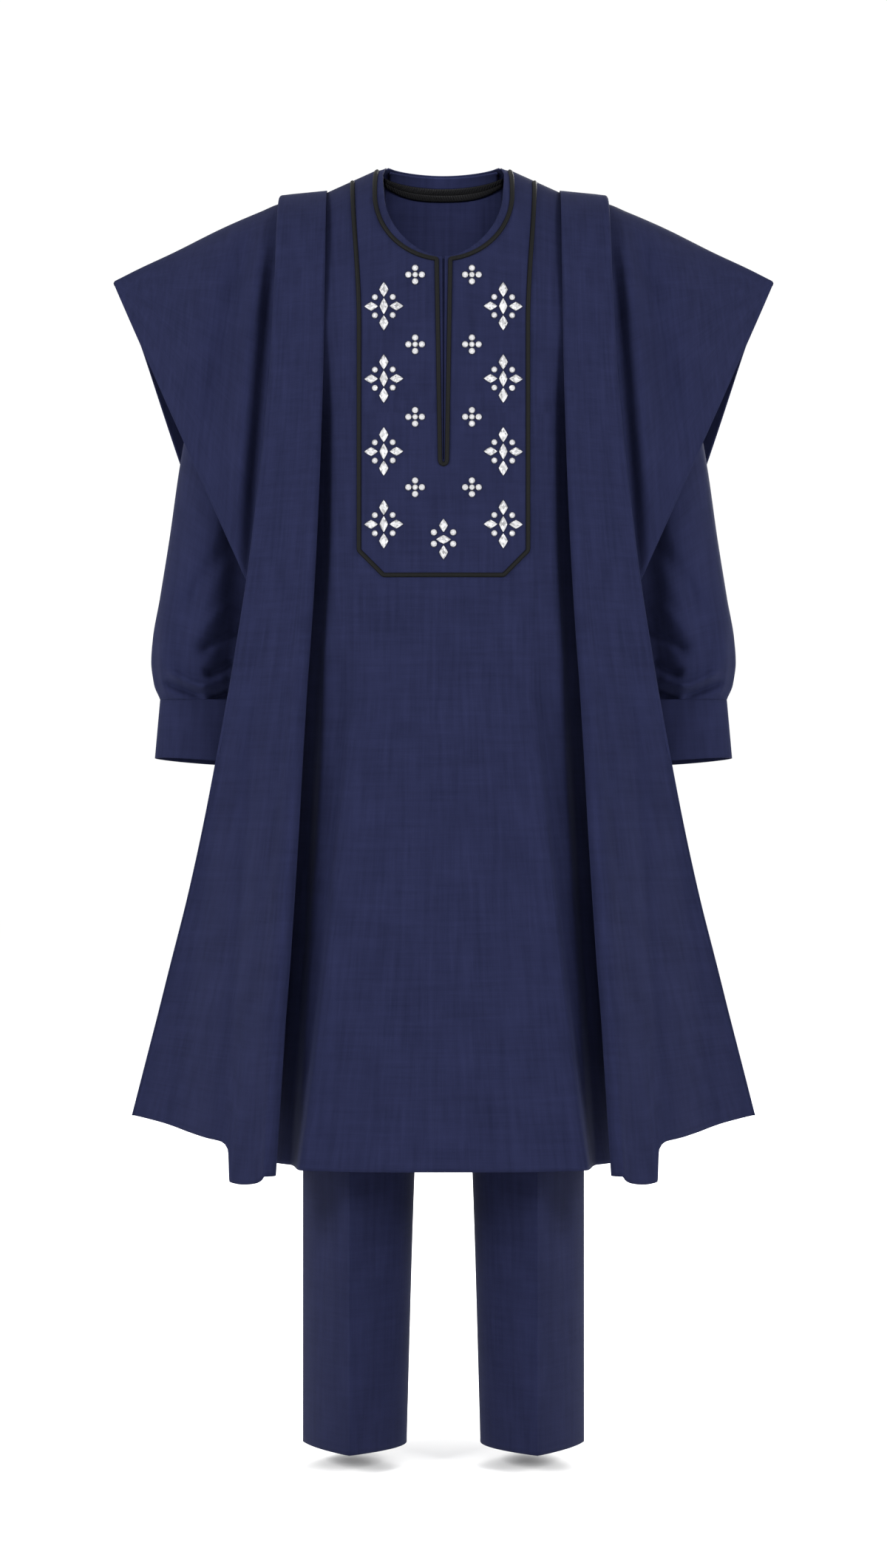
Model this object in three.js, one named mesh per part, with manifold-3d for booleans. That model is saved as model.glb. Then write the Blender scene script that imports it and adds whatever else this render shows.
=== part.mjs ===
// Agbada set: an open robe with shoulder pleats and winged sleeves over a long
// tunic with cuffed sleeves, and straight trousers with pressed creases.
// Millimetres, +Z up. The wearer faces -Y. The origin is the point between
// the shoulders where the neck sides rest.
import * as THREE from 'three';
import Module from 'manifold-3d';

const wasm = await Module();
wasm.setup();

// Cloth: its wall, the gap at a seam and the shortest edge kept where pieces
// are cut or joined
const CLOTH = 1.5;
const SEAM = 0.3;
const HALF = CLOTH / 2;
const SHORTEST_EDGE = 0.03;

// Shoulders: height of the tunic's shoulder line and how fast cloth rounds
// over it to the chest
const NECK_SIDE = { x: 77, z: -5 };
const SHOULDER_MID = { x: 134, z: -30.6 };
const SHOULDER_TIP = { x: 205, z: -61 };
const NECK_RISE = 49;
const ROUND_OVER = 170;
const SHOULDER_EASE = 150;

// Tunic sections from the shoulders to the hem
const TUNIC_SECTIONS = [
  { z: 50, front: 104, back: 104, half: 214, square: 2.6 },
  { z: -61, front: 110, back: 106, half: 213, square: 2.6 },
  { z: -176, front: 116, back: 110, half: 212, square: 2.6 },
  { z: -240, front: 117, back: 111, half: 203, square: 2.6 },
  { z: -292, front: 118, back: 111, half: 186, square: 2.6 },
  { z: -400, front: 119, back: 109, half: 183, square: 2.7 },
  { z: -640, front: 124, back: 106, half: 183, square: 2.8 },
  { z: -800, front: 131, back: 112, half: 188, square: 3.0 },
  { z: -960, front: 140, back: 124, half: 193, square: 3.2 },
  { z: -1140, front: 150, back: 136, half: 198, square: 3.4 },
];
const ARMHOLE = [
  { z: -61, x: 205 },
  { z: -100, x: 193 },
  { z: -176, x: 176 },
  { z: -240, x: 175 },
  { z: -275, x: 180.5 },
  { z: -292, x: 186 },
];
const ARMPIT_Z = -292;
const TUNIC_HEM = -1124;
const ARMHOLE_STEPS = 12;

// Soft vertical fold at each side of the tunic's skirt
const SKIRT_FOLD = { top: -620, depth: 7, width: 17, topX: 122, hemX: 161, fade: 3 };

// Neckline, slit, the piping round them and round the bib, the strip behind
// the slit and the facing inside the back neck
const NECK = { radius: 70.5, centre: -42, top: 68, backCentre: 4, backRise: 1.6, backHalf: 63 };
const NECK_STEPS = 12;
const CUT_ABOVE = 60;
const CUT_HALF = 80;
const CUT_NEAR = 20;
const CUT_FAR = 220;
const SLIT = { bottom: -343, topHalf: 4.6, bottomHalf: 1.3, spread: 0.45 };
const PIPING = { width: 5, height: 2.4, inset: 6.5, lift: 0.7 };
const PIPING_SECTION = [[-1, 0], [-0.55, 0.9], [0.55, 0.9], [1, 0]];
const SLIT_CORD = { below: 1.8, steps: 9, narrow: 0.7, shoulder: 2.6, turn: 3.6 };
const NECK_CORD_END = { steps: 8, spread: 1.6, z: -8 };
const UNDERLAP = { half: 16, above: 8, bottom: -362, steps: 8 };
const BIB = { top: 102.5, side: 93, bottom: -470, chamfer: 27, chamferRise: 27.5 };
const BIB_CORD = { top: -19, straightBy: 190, sideSteps: 22, bottomSteps: 6 };
const FACING = { height: 21, braid: 7, half: 61, taper: 0.22, below: 1, steps: 14 };

// Crystals
const CRYSTAL_HEIGHT = 2.6;
const CRYSTAL_TABLE = 0.45;
const LARGE_CROSS = {
  x: 65.4,
  z: [-172, -252, -333, -414],
  middle: { width: 8.8, height: 17.5 },
  upright: { width: 9.7, height: 16.1, offset: 18.4 },
  level: { width: 14.5, height: 9.3, offset: 13.9 },
};
const FOOT_CROSS = {
  x: 0,
  z: -429,
  middle: { width: 15.9, height: 9.3 },
  upper: { width: 9.3, height: 14.2, offset: 15.4 },
  lower: { width: 9.3, height: 15.1, offset: -14.2 },
};

// Sleeves: the outer and inner edge of each ring and its half depth
const SLEEVE_RINGS = [
  { outX: 236, outZ: -98, inX: 191.5, inZ: -316, deep: 74 },
  { outX: 261, outZ: -168, inX: 194, inZ: -350, deep: 70 },
  { outX: 283, outZ: -258, inX: 198, inZ: -394, deep: 66 },
  { outX: 298.5, outZ: -341, inX: 202, inZ: -442, deep: 62 },
  { outX: 310, outZ: -422, inX: 206, inZ: -492, deep: 58 },
  { outX: 320.5, outZ: -488, inX: 210, inZ: -534, deep: 54 },
  { outX: 328, outZ: -535, inX: 212.5, inZ: -561, deep: 50 },
  { outX: 329.5, outZ: -562, inX: 214, inZ: -579, deep: 46 },
  { outX: 326.5, outZ: -586, inX: 215, inZ: -593, deep: 39 },
  { outX: 320.5, outZ: -604.4, inX: 216.5, inZ: -606.4, deep: 28 },
];
const SLEEVE_SWING = -8;
const ARMPIT_EASE = 0.7;
const GATHERS = { count: 8, depth: 2.4, size: 50, from: 0.6, over: 3 };
const CUFF = {
  outX: 320.5, outZ: -604.8, inX: 216.5, inZ: -606.8,
  hemOutX: 326.5, hemOutZ: -671, hemInX: 219, hemInZ: -679, deep: 28, tilt: 2.4,
};

// Robe front: inner rolled edge and outer edge of each level, with their depth
const ROBE_LEVELS = [
  { z: -125, inner: 131.5, outer: 186.5, innerY: 106, outerY: 99.5 },
  { z: -220, inner: 133, outer: 190.5, innerY: 108.5, outerY: 100 },
  { z: -308, inner: 135.5, outer: 198, innerY: 110.5, outerY: 99.5 },
  { z: -402, inner: 139, outer: 208.5, innerY: 112.5, outerY: 98.5 },
  { z: -478, inner: 143, outer: 218.5, innerY: 114.5, outerY: 96 },
  { z: -533, inner: 146.5, outer: 227.3, innerY: 116, outerY: 92 },
  { z: -596, inner: 151, outer: 238.3, innerY: 118.5, outerY: 87 },
  { z: -680, inner: 156, outer: 255.5, innerY: 121.5, outerY: 66 },
  { z: -745, inner: 159.5, outer: 270, innerY: 124, outerY: 40 },
  { z: -800, inner: 162.8, outer: 283.3, innerY: 126, outerY: 18 },
  { z: -850, inner: 166, outer: 296, innerY: 128, outerY: 4 },
  { z: -900, inner: 169.3, outer: 309, innerY: 130, outerY: 1.4 },
  { z: -960, inner: 174, outer: 324, innerY: 133, outerY: 1.4 },
];
const STRIP = { inner: 132, outer: 185, innerZ: -27.6, outerZ: -32.6, round: 150 };
const ROBE_HEM = [
  { u: 0, x: 184.5, z: -1127 },
  { u: 0.06, x: 189.5, z: -1134 },
  { u: 0.13, x: 201, z: -1139 },
  { u: 0.22, x: 221, z: -1141.4 },
  { u: 0.29, x: 236, z: -1139.5 },
  { u: 0.32, x: 238.3, z: -1104.5 },
  { u: 0.36, x: 246.3, z: -1096.5 },
  { u: 0.46, x: 263.5, z: -1094 },
  { u: 0.6, x: 285, z: -1090 },
  { u: 0.78, x: 318, z: -1082 },
  { u: 0.92, x: 341, z: -1078.5 },
  { u: 1, x: 354, z: -1076.5 },
];
const INNER_ROLL = [
  { z: -28, radius: 1.6, turn: 12 },
  { z: -60, radius: 2, turn: 50 },
  { z: -200, radius: 4, turn: 110 },
  { z: -500, radius: 8, turn: 150 },
  { z: -900, radius: 11, turn: 160 },
  { z: -1140, radius: 12, turn: 165 },
];
const OUTER_ROLL = [
  { z: 0, radius: 2.9, turn: 180, tail: 14 },
  { z: -300, radius: 2.6, turn: 180, tail: 10 },
  { z: -470, radius: 2.2, turn: 170, tail: 4 },
  { z: -560, radius: 2.2, turn: 90, tail: 2.5 },
  { z: -640, radius: 2.2, turn: 20, tail: 2.5 },
  { z: -700, radius: 2.2, turn: 5, tail: 2.5 },
  { z: -1140, radius: 2.2, turn: 5, tail: 2.5 },
];
const ROBE_BACK_NECK = -86;
const ROBE_NECK_FADE = 220;
const ROBE_BACK_ROUNDING = 1.5;
const ROBE_BACK_CENTRE = [
  { z: -80, y: 116 },
  { z: -300, y: 118 },
  { z: -640, y: 114 },
  { z: -900, y: 132 },
  { z: -1140, y: 148 },
];
const BACK_HEM_CENTRE = -1150;
const ROBE_BACK_EASE = 5.2;

// Winged sleeves: the line over the shoulder and the depth at each place
const WING_RIDGE = [
  { x: 150, z: -35.2, deep: 98.5 },
  { x: 164, z: -40.2, deep: 93.5 },
  { x: 183, z: -41.8, deep: 89.5 },
  { x: 207, z: -51, deep: 86 },
  { x: 249, z: -69, deep: 77 },
  { x: 307, z: -97.5, deep: 55 },
  { x: 345, z: -115, deep: 35 },
  { x: 373, z: -129, deep: 15 },
];
const WING_FRONT_HEM = { innerX: 200, innerZ: -516, tipX: 374.5, tipZ: -137 };
const WING_BACK_HEM = { innerX: 214, innerZ: -590, tipX: 375.5, tipZ: -138 };

// Trousers: half widths and depths of each leg ring, crease at the front
const WAIST_Z = -432;
const CROTCH_Z = -700;
const BAND_HEIGHT = 38;
const CENTRE_GAP = 0.95;
const CROTCH = { wall: 1.2, ease: 50, clear: 20, reach: 96, arcTop: 48, arcDrop: 40, arcSteps: 8 };
const CROTCH_CUT = { from: -3, to: 4 };
const BAND = { topHalf: 146, footHalf: 148, topDeep: 91, footDeep: 92, points: 28 };
const LEG_RINGS = [
  { z: -433, inner: CENTRE_GAP, outer: 148, crease: 88, deep: 92, leg: 0 },
  { z: -580, inner: CENTRE_GAP, outer: 169, crease: 97, deep: 102.2, leg: 0 },
  { z: -640, inner: CENTRE_GAP, outer: 172, crease: 99, deep: 104.1, leg: 0 },
  { z: -700, inner: CENTRE_GAP, outer: 171, crease: 101, deep: 103, leg: 0.12 },
  { z: -760, inner: 5, outer: 169, crease: 102, deep: 100, leg: 0.4 },
  { z: -840, inner: 14, outer: 166, crease: 103, deep: 95, leg: 0.7 },
  { z: -960, inner: 24, outer: 162, crease: 104, deep: 89, leg: 1 },
  { z: -1142, inner: 33.5, outer: 159, crease: 104.4, deep: 85, leg: 1 },
  { z: -1447, inner: 42.5, outer: 159, crease: 104.6, deep: 81, leg: 1 },
];

const NAVY = { color: 0x2b2d52, roughness: 0.85, metalness: 0 };
const BLACK = { color: 0x1c1c1e, roughness: 0.6, metalness: 0 };

const group = new THREE.Group();

const mix = (a, b, t) => a + (b - a) * t;
const clamp01 = (t) => Math.min(1, Math.max(0, t));
const ease = (t) => clamp01(t) ** 2 * (3 - 2 * clamp01(t));
const bell = (t) => Math.exp(-t * t);
const radians = THREE.MathUtils.degToRad;

// Value of one named column of a table, between its rows, by a smooth curve.
function read(table, key, at, column) {
  const rising = table[0][key] < table[table.length - 1][key];
  const rows = rising ? table : [...table].reverse();
  if (at <= rows[0][key]) return rows[0][column];
  const last = rows.length - 1;
  if (at >= rows[last][key]) return rows[last][column];
  const k = rows.findIndex((row, i) => i < last && at < rows[i + 1][key]);
  const slope = (i) => {
    if (i < 0 || i >= last) return null;
    return (rows[i + 1][column] - rows[i][column]) / (rows[i + 1][key] - rows[i][key]);
  };
  const tangent = (i) => {
    const before = slope(i - 1);
    const after = slope(i);
    if (before === null) return after;
    if (after === null) return before;
    if (before * after <= 0) return 0;
    return 2 / (1 / before + 1 / after);
  };
  const span = rows[k + 1][key] - rows[k][key];
  const t = (at - rows[k][key]) / span;
  const a = rows[k][column];
  const b = rows[k + 1][column];
  const h10 = t * (1 - t) ** 2;
  const h11 = t * t * (t - 1);
  return mix(a, b, t * t * (3 - 2 * t)) + span * (h10 * tangent(k) + h11 * tangent(k + 1));
}

// Both faces of a cloth wall through a grid of mid points.
function clothFaces(grid, { ring = false, normalAt = () => null, half = HALF } = {}) {
  const rows = grid.length;
  const cols = grid[0].length;
  const at = (i, j) => grid[i][ring ? (j + cols) % cols : j];
  const normals = [];
  for (let i = 0; i < rows; i += 1) {
    for (let j = 0; j < cols; j += 1) {
      const left = ring || j > 0 ? at(i, j - 1) : at(i, j);
      const right = ring || j < cols - 1 ? at(i, j + 1) : at(i, j);
      const up = at(Math.max(i - 1, 0), j);
      const down = at(Math.min(i + 1, rows - 1), j);
      const across = new THREE.Vector3().subVectors(right, left);
      const along = new THREE.Vector3().subVectors(down, up);
      normals.push(normalAt(i, j) ?? across.cross(along).normalize());
    }
  }
  const face = (side) => grid.map((row, i) => (
    row.map((mid, j) => mid.clone().addScaledVector(normals[i * cols + j], side * half))
  ));
  return [face(1), face(-1)];
}

// A cloth wall through a grid of mid points, closed at its rims.
function clothGeometry(grid, { ring = false, normalAt = () => null, half = HALF } = {}) {
  const rows = grid.length;
  const cols = grid[0].length;
  const count = rows * cols;
  const faces = clothFaces(grid, { ring, normalAt, half });
  const positions = faces.flat(2).flatMap((p) => [p.x, p.y, p.z]);
  const index = [];
  const quad = (a, b, c, d) => index.push(a, b, c, a, c, d);
  const id = (i, j, side) => side * count + i * cols + (j % cols);
  const spanCols = ring ? cols : cols - 1;
  for (let i = 0; i < rows - 1; i += 1) {
    for (let j = 0; j < spanCols; j += 1) {
      quad(id(i, j, 0), id(i, j + 1, 0), id(i + 1, j + 1, 0), id(i + 1, j, 0));
      quad(id(i, j, 1), id(i + 1, j, 1), id(i + 1, j + 1, 1), id(i, j + 1, 1));
    }
  }
  for (let j = 0; j < spanCols; j += 1) {
    quad(id(0, j, 0), id(0, j, 1), id(0, j + 1, 1), id(0, j + 1, 0));
    quad(id(rows - 1, j, 1), id(rows - 1, j, 0), id(rows - 1, j + 1, 0), id(rows - 1, j + 1, 1));
  }
  if (!ring) {
    for (let i = 0; i < rows - 1; i += 1) {
      quad(id(i, 0, 1), id(i, 0, 0), id(i + 1, 0, 0), id(i + 1, 0, 1));
      quad(id(i, cols - 1, 0), id(i, cols - 1, 1), id(i + 1, cols - 1, 1), id(i + 1, cols - 1, 0));
    }
  }
  return closedGeometry(positions, index);
}

// Indexed geometry with its faces turned out.
function closedGeometry(positions, index) {
  let volume = 0;
  for (let k = 0; k < index.length; k += 3) {
    const [a, b, c] = [0, 1, 2].map((n) => new THREE.Vector3().fromArray(positions, index[k + n] * 3));
    volume += a.dot(b.cross(c));
  }
  if (volume < 0) {
    for (let k = 0; k < index.length; k += 3) {
      [index[k + 1], index[k + 2]] = [index[k + 2], index[k + 1]];
    }
  }
  const geometry = new THREE.BufferGeometry();
  geometry.setAttribute('position', new THREE.Float32BufferAttribute(positions, 3));
  geometry.setIndex(index);
  return geometry;
}

function solidOf(geometry) {
  const vertProperties = new Float32Array(geometry.getAttribute('position').array);
  const triVerts = new Uint32Array(geometry.getIndex().array);
  return new wasm.Manifold(new wasm.Mesh({ numProp: 3, vertProperties, triVerts }));
}

function largestBody(solid) {
  return solid.decompose().sort((a, b) => b.volume() - a.volume())[0];
}

function geometryOf(solid) {
  const mesh = solid.getMesh();
  const geometry = new THREE.BufferGeometry();
  geometry.setAttribute('position', new THREE.Float32BufferAttribute(mesh.vertProperties, 3));
  geometry.setIndex([...mesh.triVerts]);
  return geometry;
}

// A straight prism along Y over an outline of [x, z] points.
function prismAlongY(outline, fromY, toY) {
  const positions = [];
  const index = [];
  const n = outline.length;
  for (const y of [fromY, toY]) {
    outline.forEach(([x, z]) => positions.push(x, y, z));
  }
  const faces = THREE.ShapeUtils.triangulateShape(outline.map(([x, z]) => new THREE.Vector2(x, z)), []);
  faces.forEach(([a, b, c]) => index.push(a, b, c, a + n, c + n, b + n));
  for (let k = 0; k < n; k += 1) {
    const next = (k + 1) % n;
    index.push(k, k + n, next, next, k + n, next + n);
  }
  return closedGeometry(positions, index);
}

function addPiece(name, geometry, look) {
  const mesh = new THREE.Mesh(geometry, new THREE.MeshStandardMaterial(look));
  mesh.name = name;
  group.add(mesh);
}

// Mirror image of a geometry across the middle plane.
function mirrored(geometry) {
  const positions = [...geometry.getAttribute('position').array];
  for (let k = 0; k < positions.length; k += 3) positions[k] *= -1;
  return closedGeometry(positions, [...geometry.getIndex().array]);
}

function addPair(name, geometry, look) {
  addPiece(`${name}_right`, geometry, look);
  addPiece(`${name}_left`, mirrored(geometry), look);
}

// Tunic surface

function shoulderLine(x) {
  const side = Math.abs(x);
  if (side < NECK_SIDE.x) return NECK_SIDE.z + NECK_RISE * (1 - (side / NECK_SIDE.x) ** 2);
  if (side < SHOULDER_MID.x) {
    return mix(NECK_SIDE.z, SHOULDER_MID.z, (side - NECK_SIDE.x) / (SHOULDER_MID.x - NECK_SIDE.x));
  }
  const t = (side - SHOULDER_MID.x) / (SHOULDER_TIP.x - SHOULDER_MID.x);
  return mix(SHOULDER_MID.z, SHOULDER_TIP.z, t);
}

const roundOver = (drop, height) => Math.sqrt(1 - (1 - clamp01(drop / height)) ** 2);

function skirtFold(x, z) {
  const t = ease((SKIRT_FOLD.top - z) / (SKIRT_FOLD.top - TUNIC_HEM));
  const centre = mix(SKIRT_FOLD.topX, SKIRT_FOLD.hemX, (SKIRT_FOLD.top - z) / (SKIRT_FOLD.top - TUNIC_HEM));
  return SKIRT_FOLD.depth * t * bell((Math.abs(x) - centre) / SKIRT_FOLD.width);
}

// Depth of the tunic at a place, front or back, measured from the side seams.
function tunicDepth(x, z, side) {
  const half = read(TUNIC_SECTIONS, 'z', z, 'half');
  const square = read(TUNIC_SECTIONS, 'z', z, 'square');
  const deep = read(TUNIC_SECTIONS, 'z', z, side);
  const across = (1 - clamp01(Math.abs(x) / half) ** square) ** (1 / square);
  const fold = side === 'front' ? skirtFold(x, z) * clamp01(across * SKIRT_FOLD.fade) : 0;
  return (deep + fold) * across * roundOver(shoulderLine(x) - z, ROUND_OVER);
}

function tunicPoint(x, z, side) {
  const sign = side === 'front' ? -1 : 1;
  return new THREE.Vector3(x, sign * (tunicDepth(x, z, side) + SEAM / 2), z);
}

// Outward direction of the tunic at a place.
function tunicOutward(x, z, side) {
  const step = 0.5;
  const dx = tunicPoint(x + step, z, side).y - tunicPoint(x - step, z, side).y;
  const dz = tunicPoint(x, z + step, side).y - tunicPoint(x, z - step, side).y;
  const outward = new THREE.Vector3(-dx / (2 * step), 1, -dz / (2 * step)).normalize();
  return outward.multiplyScalar(side === 'front' ? -1 : 1);
}

// Levels of the tunic at its side edge: the armhole, then the skirt.
const armholeLevels = [];
for (let k = 0; k <= ARMHOLE_STEPS; k += 1) {
  const middle = (SHOULDER_TIP.z + ARMPIT_Z) / 2;
  armholeLevels.push(middle + (SHOULDER_TIP.z - middle) * Math.cos((Math.PI * k) / ARMHOLE_STEPS));
}
const SKIRT_LEVELS = [-345, -440, -540, -640, -760, -880, -1000, TUNIC_HEM];
const tunicLevels = [...armholeLevels, ...SKIRT_LEVELS];

function tunicEdge(z) {
  if (z > ARMPIT_Z) return read(ARMHOLE, 'z', z, 'x');
  return read(TUNIC_SECTIONS, 'z', z, 'half');
}

const TUNIC_COLUMNS = [-1, -0.97, -0.9, -0.8, -0.65, -0.51, -0.376, -0.25, -0.125, 0];
const tunicColumns = [...TUNIC_COLUMNS, ...TUNIC_COLUMNS.slice(0, -1).reverse().map((u) => -u)];

// Direction across the cloth along the armhole, shared by body and sleeve.
function armholeNormal(k, sideways, front) {
  const angle = (Math.PI * k) / ARMHOLE_STEPS;
  const lean = k === ARMHOLE_STEPS ? 1 : 0;
  return new THREE.Vector3(lean * sideways, front * Math.sin(angle), Math.cos(angle)).normalize();
}

function tunicPanel(side) {
  const grid = tunicLevels.map((level) => {
    const edge = tunicEdge(level);
    const slope = 1 - ease((SHOULDER_TIP.z - level) / SHOULDER_EASE);
    return tunicColumns.map((u) => {
      const x = u * edge;
      const z = level + (shoulderLine(x) - shoulderLine(edge)) * slope;
      return tunicPoint(x, z, side);
    });
  });
  const sign = side === 'front' ? -1 : 1;
  const last = tunicColumns.length - 1;
  const normalAt = (i, j) => {
    const atEdge = j === 0 || j === last;
    if (atEdge && i <= ARMHOLE_STEPS && i > 0) {
      return armholeNormal(i, j === 0 ? -1 : 1, sign).multiplyScalar(sign);
    }
    if (i === 0) return new THREE.Vector3(0, 0, sign);
    if (atEdge) return new THREE.Vector3(j === 0 ? -sign : sign, 0, 0);
    return null;
  };
  return { grid, normalAt };
}

const tunicPanels = { front: tunicPanel('front'), back: tunicPanel('back') };

// The outer and inner faces of each tunic panel, as rows of points.
function panelFaces({ grid, normalAt }) {
  const [a, b] = clothFaces(grid, { normalAt });
  const middle = Math.floor(grid.length / 2);
  const column = Math.floor(grid[0].length / 2);
  const firstIsOuter = Math.abs(a[middle][column].y) > Math.abs(b[middle][column].y);
  return firstIsOuter ? { outer: a, inner: b } : { outer: b, inner: a };
}

const tunicFaces = { front: panelFaces(tunicPanels.front), back: panelFaces(tunicPanels.back) };

// Depth of a face's own facets at a place, or of its formula past its edge.
function facetDepth(face, x, z, fallback) {
  const span = (a, b, c) => (b.x - a.x) * (c.z - a.z) - (c.x - a.x) * (b.z - a.z);
  const here = { x, z };
  for (let i = 0; i < face.length - 1; i += 1) {
    for (let j = 0; j < face[0].length - 1; j += 1) {
      const [a, b, c, d] = [face[i][j], face[i][j + 1], face[i + 1][j + 1], face[i + 1][j]];
      for (const [p, q, r] of [[a, b, c], [a, c, d]]) {
        const whole = span(p, q, r);
        const wp = span(here, q, r) / whole;
        const wq = span(p, here, r) / whole;
        const wr = 1 - wp - wq;
        if (wp >= -1e-6 && wq >= -1e-6 && wr >= -1e-6) return wp * p.y + wq * q.y + wr * r.y;
      }
    }
  }
  return fallback;
}

// Point on the outer or inner face of the tunic, moved outward.
function onTunic(x, z, side, layer, out) {
  const y = facetDepth(tunicFaces[side][layer], x, z, tunicPoint(x, z, side).y);
  return new THREE.Vector3(x, y, z).addScaledVector(tunicOutward(x, z, side), out);
}

// Neck and slit outline, as seen from the front, for cutting and for piping.
function neckSide(inset) {
  const radius = NECK.radius + inset;
  const points = [];
  const slitTop = SLIT.topHalf + inset * SLIT.spread;
  const from = Math.acos(slitTop / radius);
  for (let k = 0; k <= NECK_STEPS; k += 1) {
    const angle = mix(-from, 0, k / NECK_STEPS);
    points.push([radius * Math.cos(angle), NECK.centre + radius * Math.sin(angle)]);
  }
  return points;
}

const neckTopZ = NECK_SIDE.z + CUT_ABOVE;
const slitSide = neckSide(0);
const frontCut = [
  [-SLIT.bottomHalf, SLIT.bottom],
  [SLIT.bottomHalf, SLIT.bottom],
  ...slitSide,
  [NECK.top, neckTopZ],
  [-NECK.top, neckTopZ],
  ...slitSide.map(([x, z]) => [-x, z]).reverse(),
];

const backNeckZ = (x) => NECK.backCentre + NECK.backRise * (x / NECK.backHalf) ** 2;
const backCut = [];
for (let k = 0; k <= NECK_STEPS; k += 1) {
  const x = mix(-CUT_HALF, CUT_HALF, k / NECK_STEPS);
  backCut.push([x, backNeckZ(x)]);
}
backCut.push([CUT_HALF, neckTopZ], [-CUT_HALF, neckTopZ]);

// One crystal: a low frustum standing in the cloth's outer face.
function crystal(x, z, outline) {
  const lift = [-HALF, CRYSTAL_HEIGHT];
  const outward = tunicOutward(x, z, 'front');
  const middle = onTunic(x, z, 'front', 'outer', 0);
  const positions = [];
  const index = [];
  const n = outline.length;
  lift.forEach((out, level) => {
    const scale = level === 0 ? 1 : CRYSTAL_TABLE;
    outline.forEach(([dx, dz]) => {
      const base = onTunic(x + dx, z + dz, 'front', 'outer', 0);
      const p = middle.clone().lerp(base, scale).addScaledVector(outward, out);
      positions.push(p.x, p.y, p.z);
    });
  });
  for (let k = 1; k < n - 1; k += 1) index.push(0, k, k + 1, n, n + k + 1, n + k);
  for (let k = 0; k < n; k += 1) {
    const next = (k + 1) % n;
    index.push(k, k + n, next, next, k + n, next + n);
  }
  return closedGeometry(positions, index);
}

function lozenge({ width, height }) {
  return [[-width / 2, 0], [0, -height / 2], [width / 2, 0], [0, height / 2]];
}

function crossStones() {
  const stones = [];
  const place = (x, z, size) => stones.push(crystal(x, z, lozenge(size)));
  const { middle, upright, level } = LARGE_CROSS;
  for (const side of [-1, 1]) {
    for (const z of LARGE_CROSS.z) {
      const x = side * LARGE_CROSS.x;
      place(x, z, middle);
      for (const s of [-1, 1]) {
        place(x, z + s * upright.offset, upright);
        place(x + s * level.offset, z, level);
      }
    }
  }
  const { x, z, upper, lower } = FOOT_CROSS;
  place(x, z, FOOT_CROSS.middle);
  place(x, z + upper.offset, upper);
  place(x, z + lower.offset, lower);
  return stones;
}

let front = solidOf(clothGeometry(tunicPanels.front.grid, tunicPanels.front));
front = front.subtract(solidOf(prismAlongY(frontCut, -CUT_FAR, CUT_NEAR)));
for (const stone of crossStones()) front = front.add(solidOf(stone));
front = front.simplify(SHORTEST_EDGE);
addPiece('tunic_front', geometryOf(front), NAVY);

let back = solidOf(clothGeometry(tunicPanels.back.grid, tunicPanels.back));
back = back.subtract(solidOf(prismAlongY(backCut, -CUT_NEAR, CUT_FAR)));
addPiece('tunic_back', geometryOf(back), NAVY);

// The tunic's walls swollen by the gap that pieces lying on them keep.
const swollen = (side) => solidOf(clothGeometry(
  tunicPanels[side].grid,
  { normalAt: tunicPanels[side].normalAt, half: HALF + SEAM },
));

// Piping: a low half-round cord swept along the tunic's outer face.
function pipingGeometry(path, side) {
  const grid = path.map(([x, z], i) => {
    const [ax, az] = path[Math.max(i - 1, 0)];
    const [bx, bz] = path[Math.min(i + 1, path.length - 1)];
    const length = Math.hypot(bx - ax, bz - az);
    const nx = -(bz - az) / length;
    const nz = (bx - ax) / length;
    const half = PIPING.width / 2;
    return PIPING_SECTION.map(([across, up]) => {
      const dx = nx * across * half;
      const dz = nz * across * half;
      return onTunic(x + dx, z + dz, side, 'outer', PIPING.lift + up * PIPING.height);
    });
  });
  const positions = grid.flat().flatMap((p) => [p.x, p.y, p.z]);
  const n = PIPING_SECTION.length;
  const index = [];
  for (let i = 0; i < grid.length - 1; i += 1) {
    for (let j = 0; j < n; j += 1) {
      const next = (j + 1) % n;
      const a = i * n + j;
      const b = i * n + next;
      index.push(a, a + n, b, b, a + n, b + n);
    }
  }
  const end = (grid.length - 1) * n;
  for (let j = 1; j < n - 1; j += 1) index.push(0, j, j + 1, end, end + j + 1, end + j);
  const cord = solidOf(closedGeometry(positions, index));
  return geometryOf(largestBody(cord.subtract(swollen(side))).simplify(SHORTEST_EDGE));
}

// Piping round the front neck and down both sides of the slit, in one length.
const neckCord = neckSide(PIPING.inset);
const slitBottomZ = SLIT.bottom - SLIT_CORD.below;
const slitHalf = SLIT.bottomHalf + PIPING.width / 2;
const slitStraight = [];
for (let k = 1; k <= SLIT_CORD.steps; k += 1) {
  const t = k / (SLIT_CORD.steps + 1);
  slitStraight.push([mix(slitHalf, neckCord[0][0], t), mix(slitBottomZ, neckCord[0][1], t)]);
}
const neckTopCord = [];
for (let k = 1; k <= NECK_CORD_END.steps; k += 1) {
  const t = 1 - (1 - k / NECK_CORD_END.steps) ** NECK_CORD_END.spread;
  const x = mix(NECK.radius + PIPING.inset, NECK_SIDE.x - 1, t);
  neckTopCord.push([x, mix(NECK.centre, NECK_CORD_END.z, t)]);
}
const slitTurn = [
  [slitHalf * SLIT_CORD.narrow, slitBottomZ - SLIT_CORD.shoulder],
  [slitHalf, slitBottomZ],
];
const halfCord = [...slitTurn, ...slitStraight, ...neckCord, ...neckTopCord];
const otherHalf = halfCord.map(([x, z]) => [-x, z]).reverse();
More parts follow.
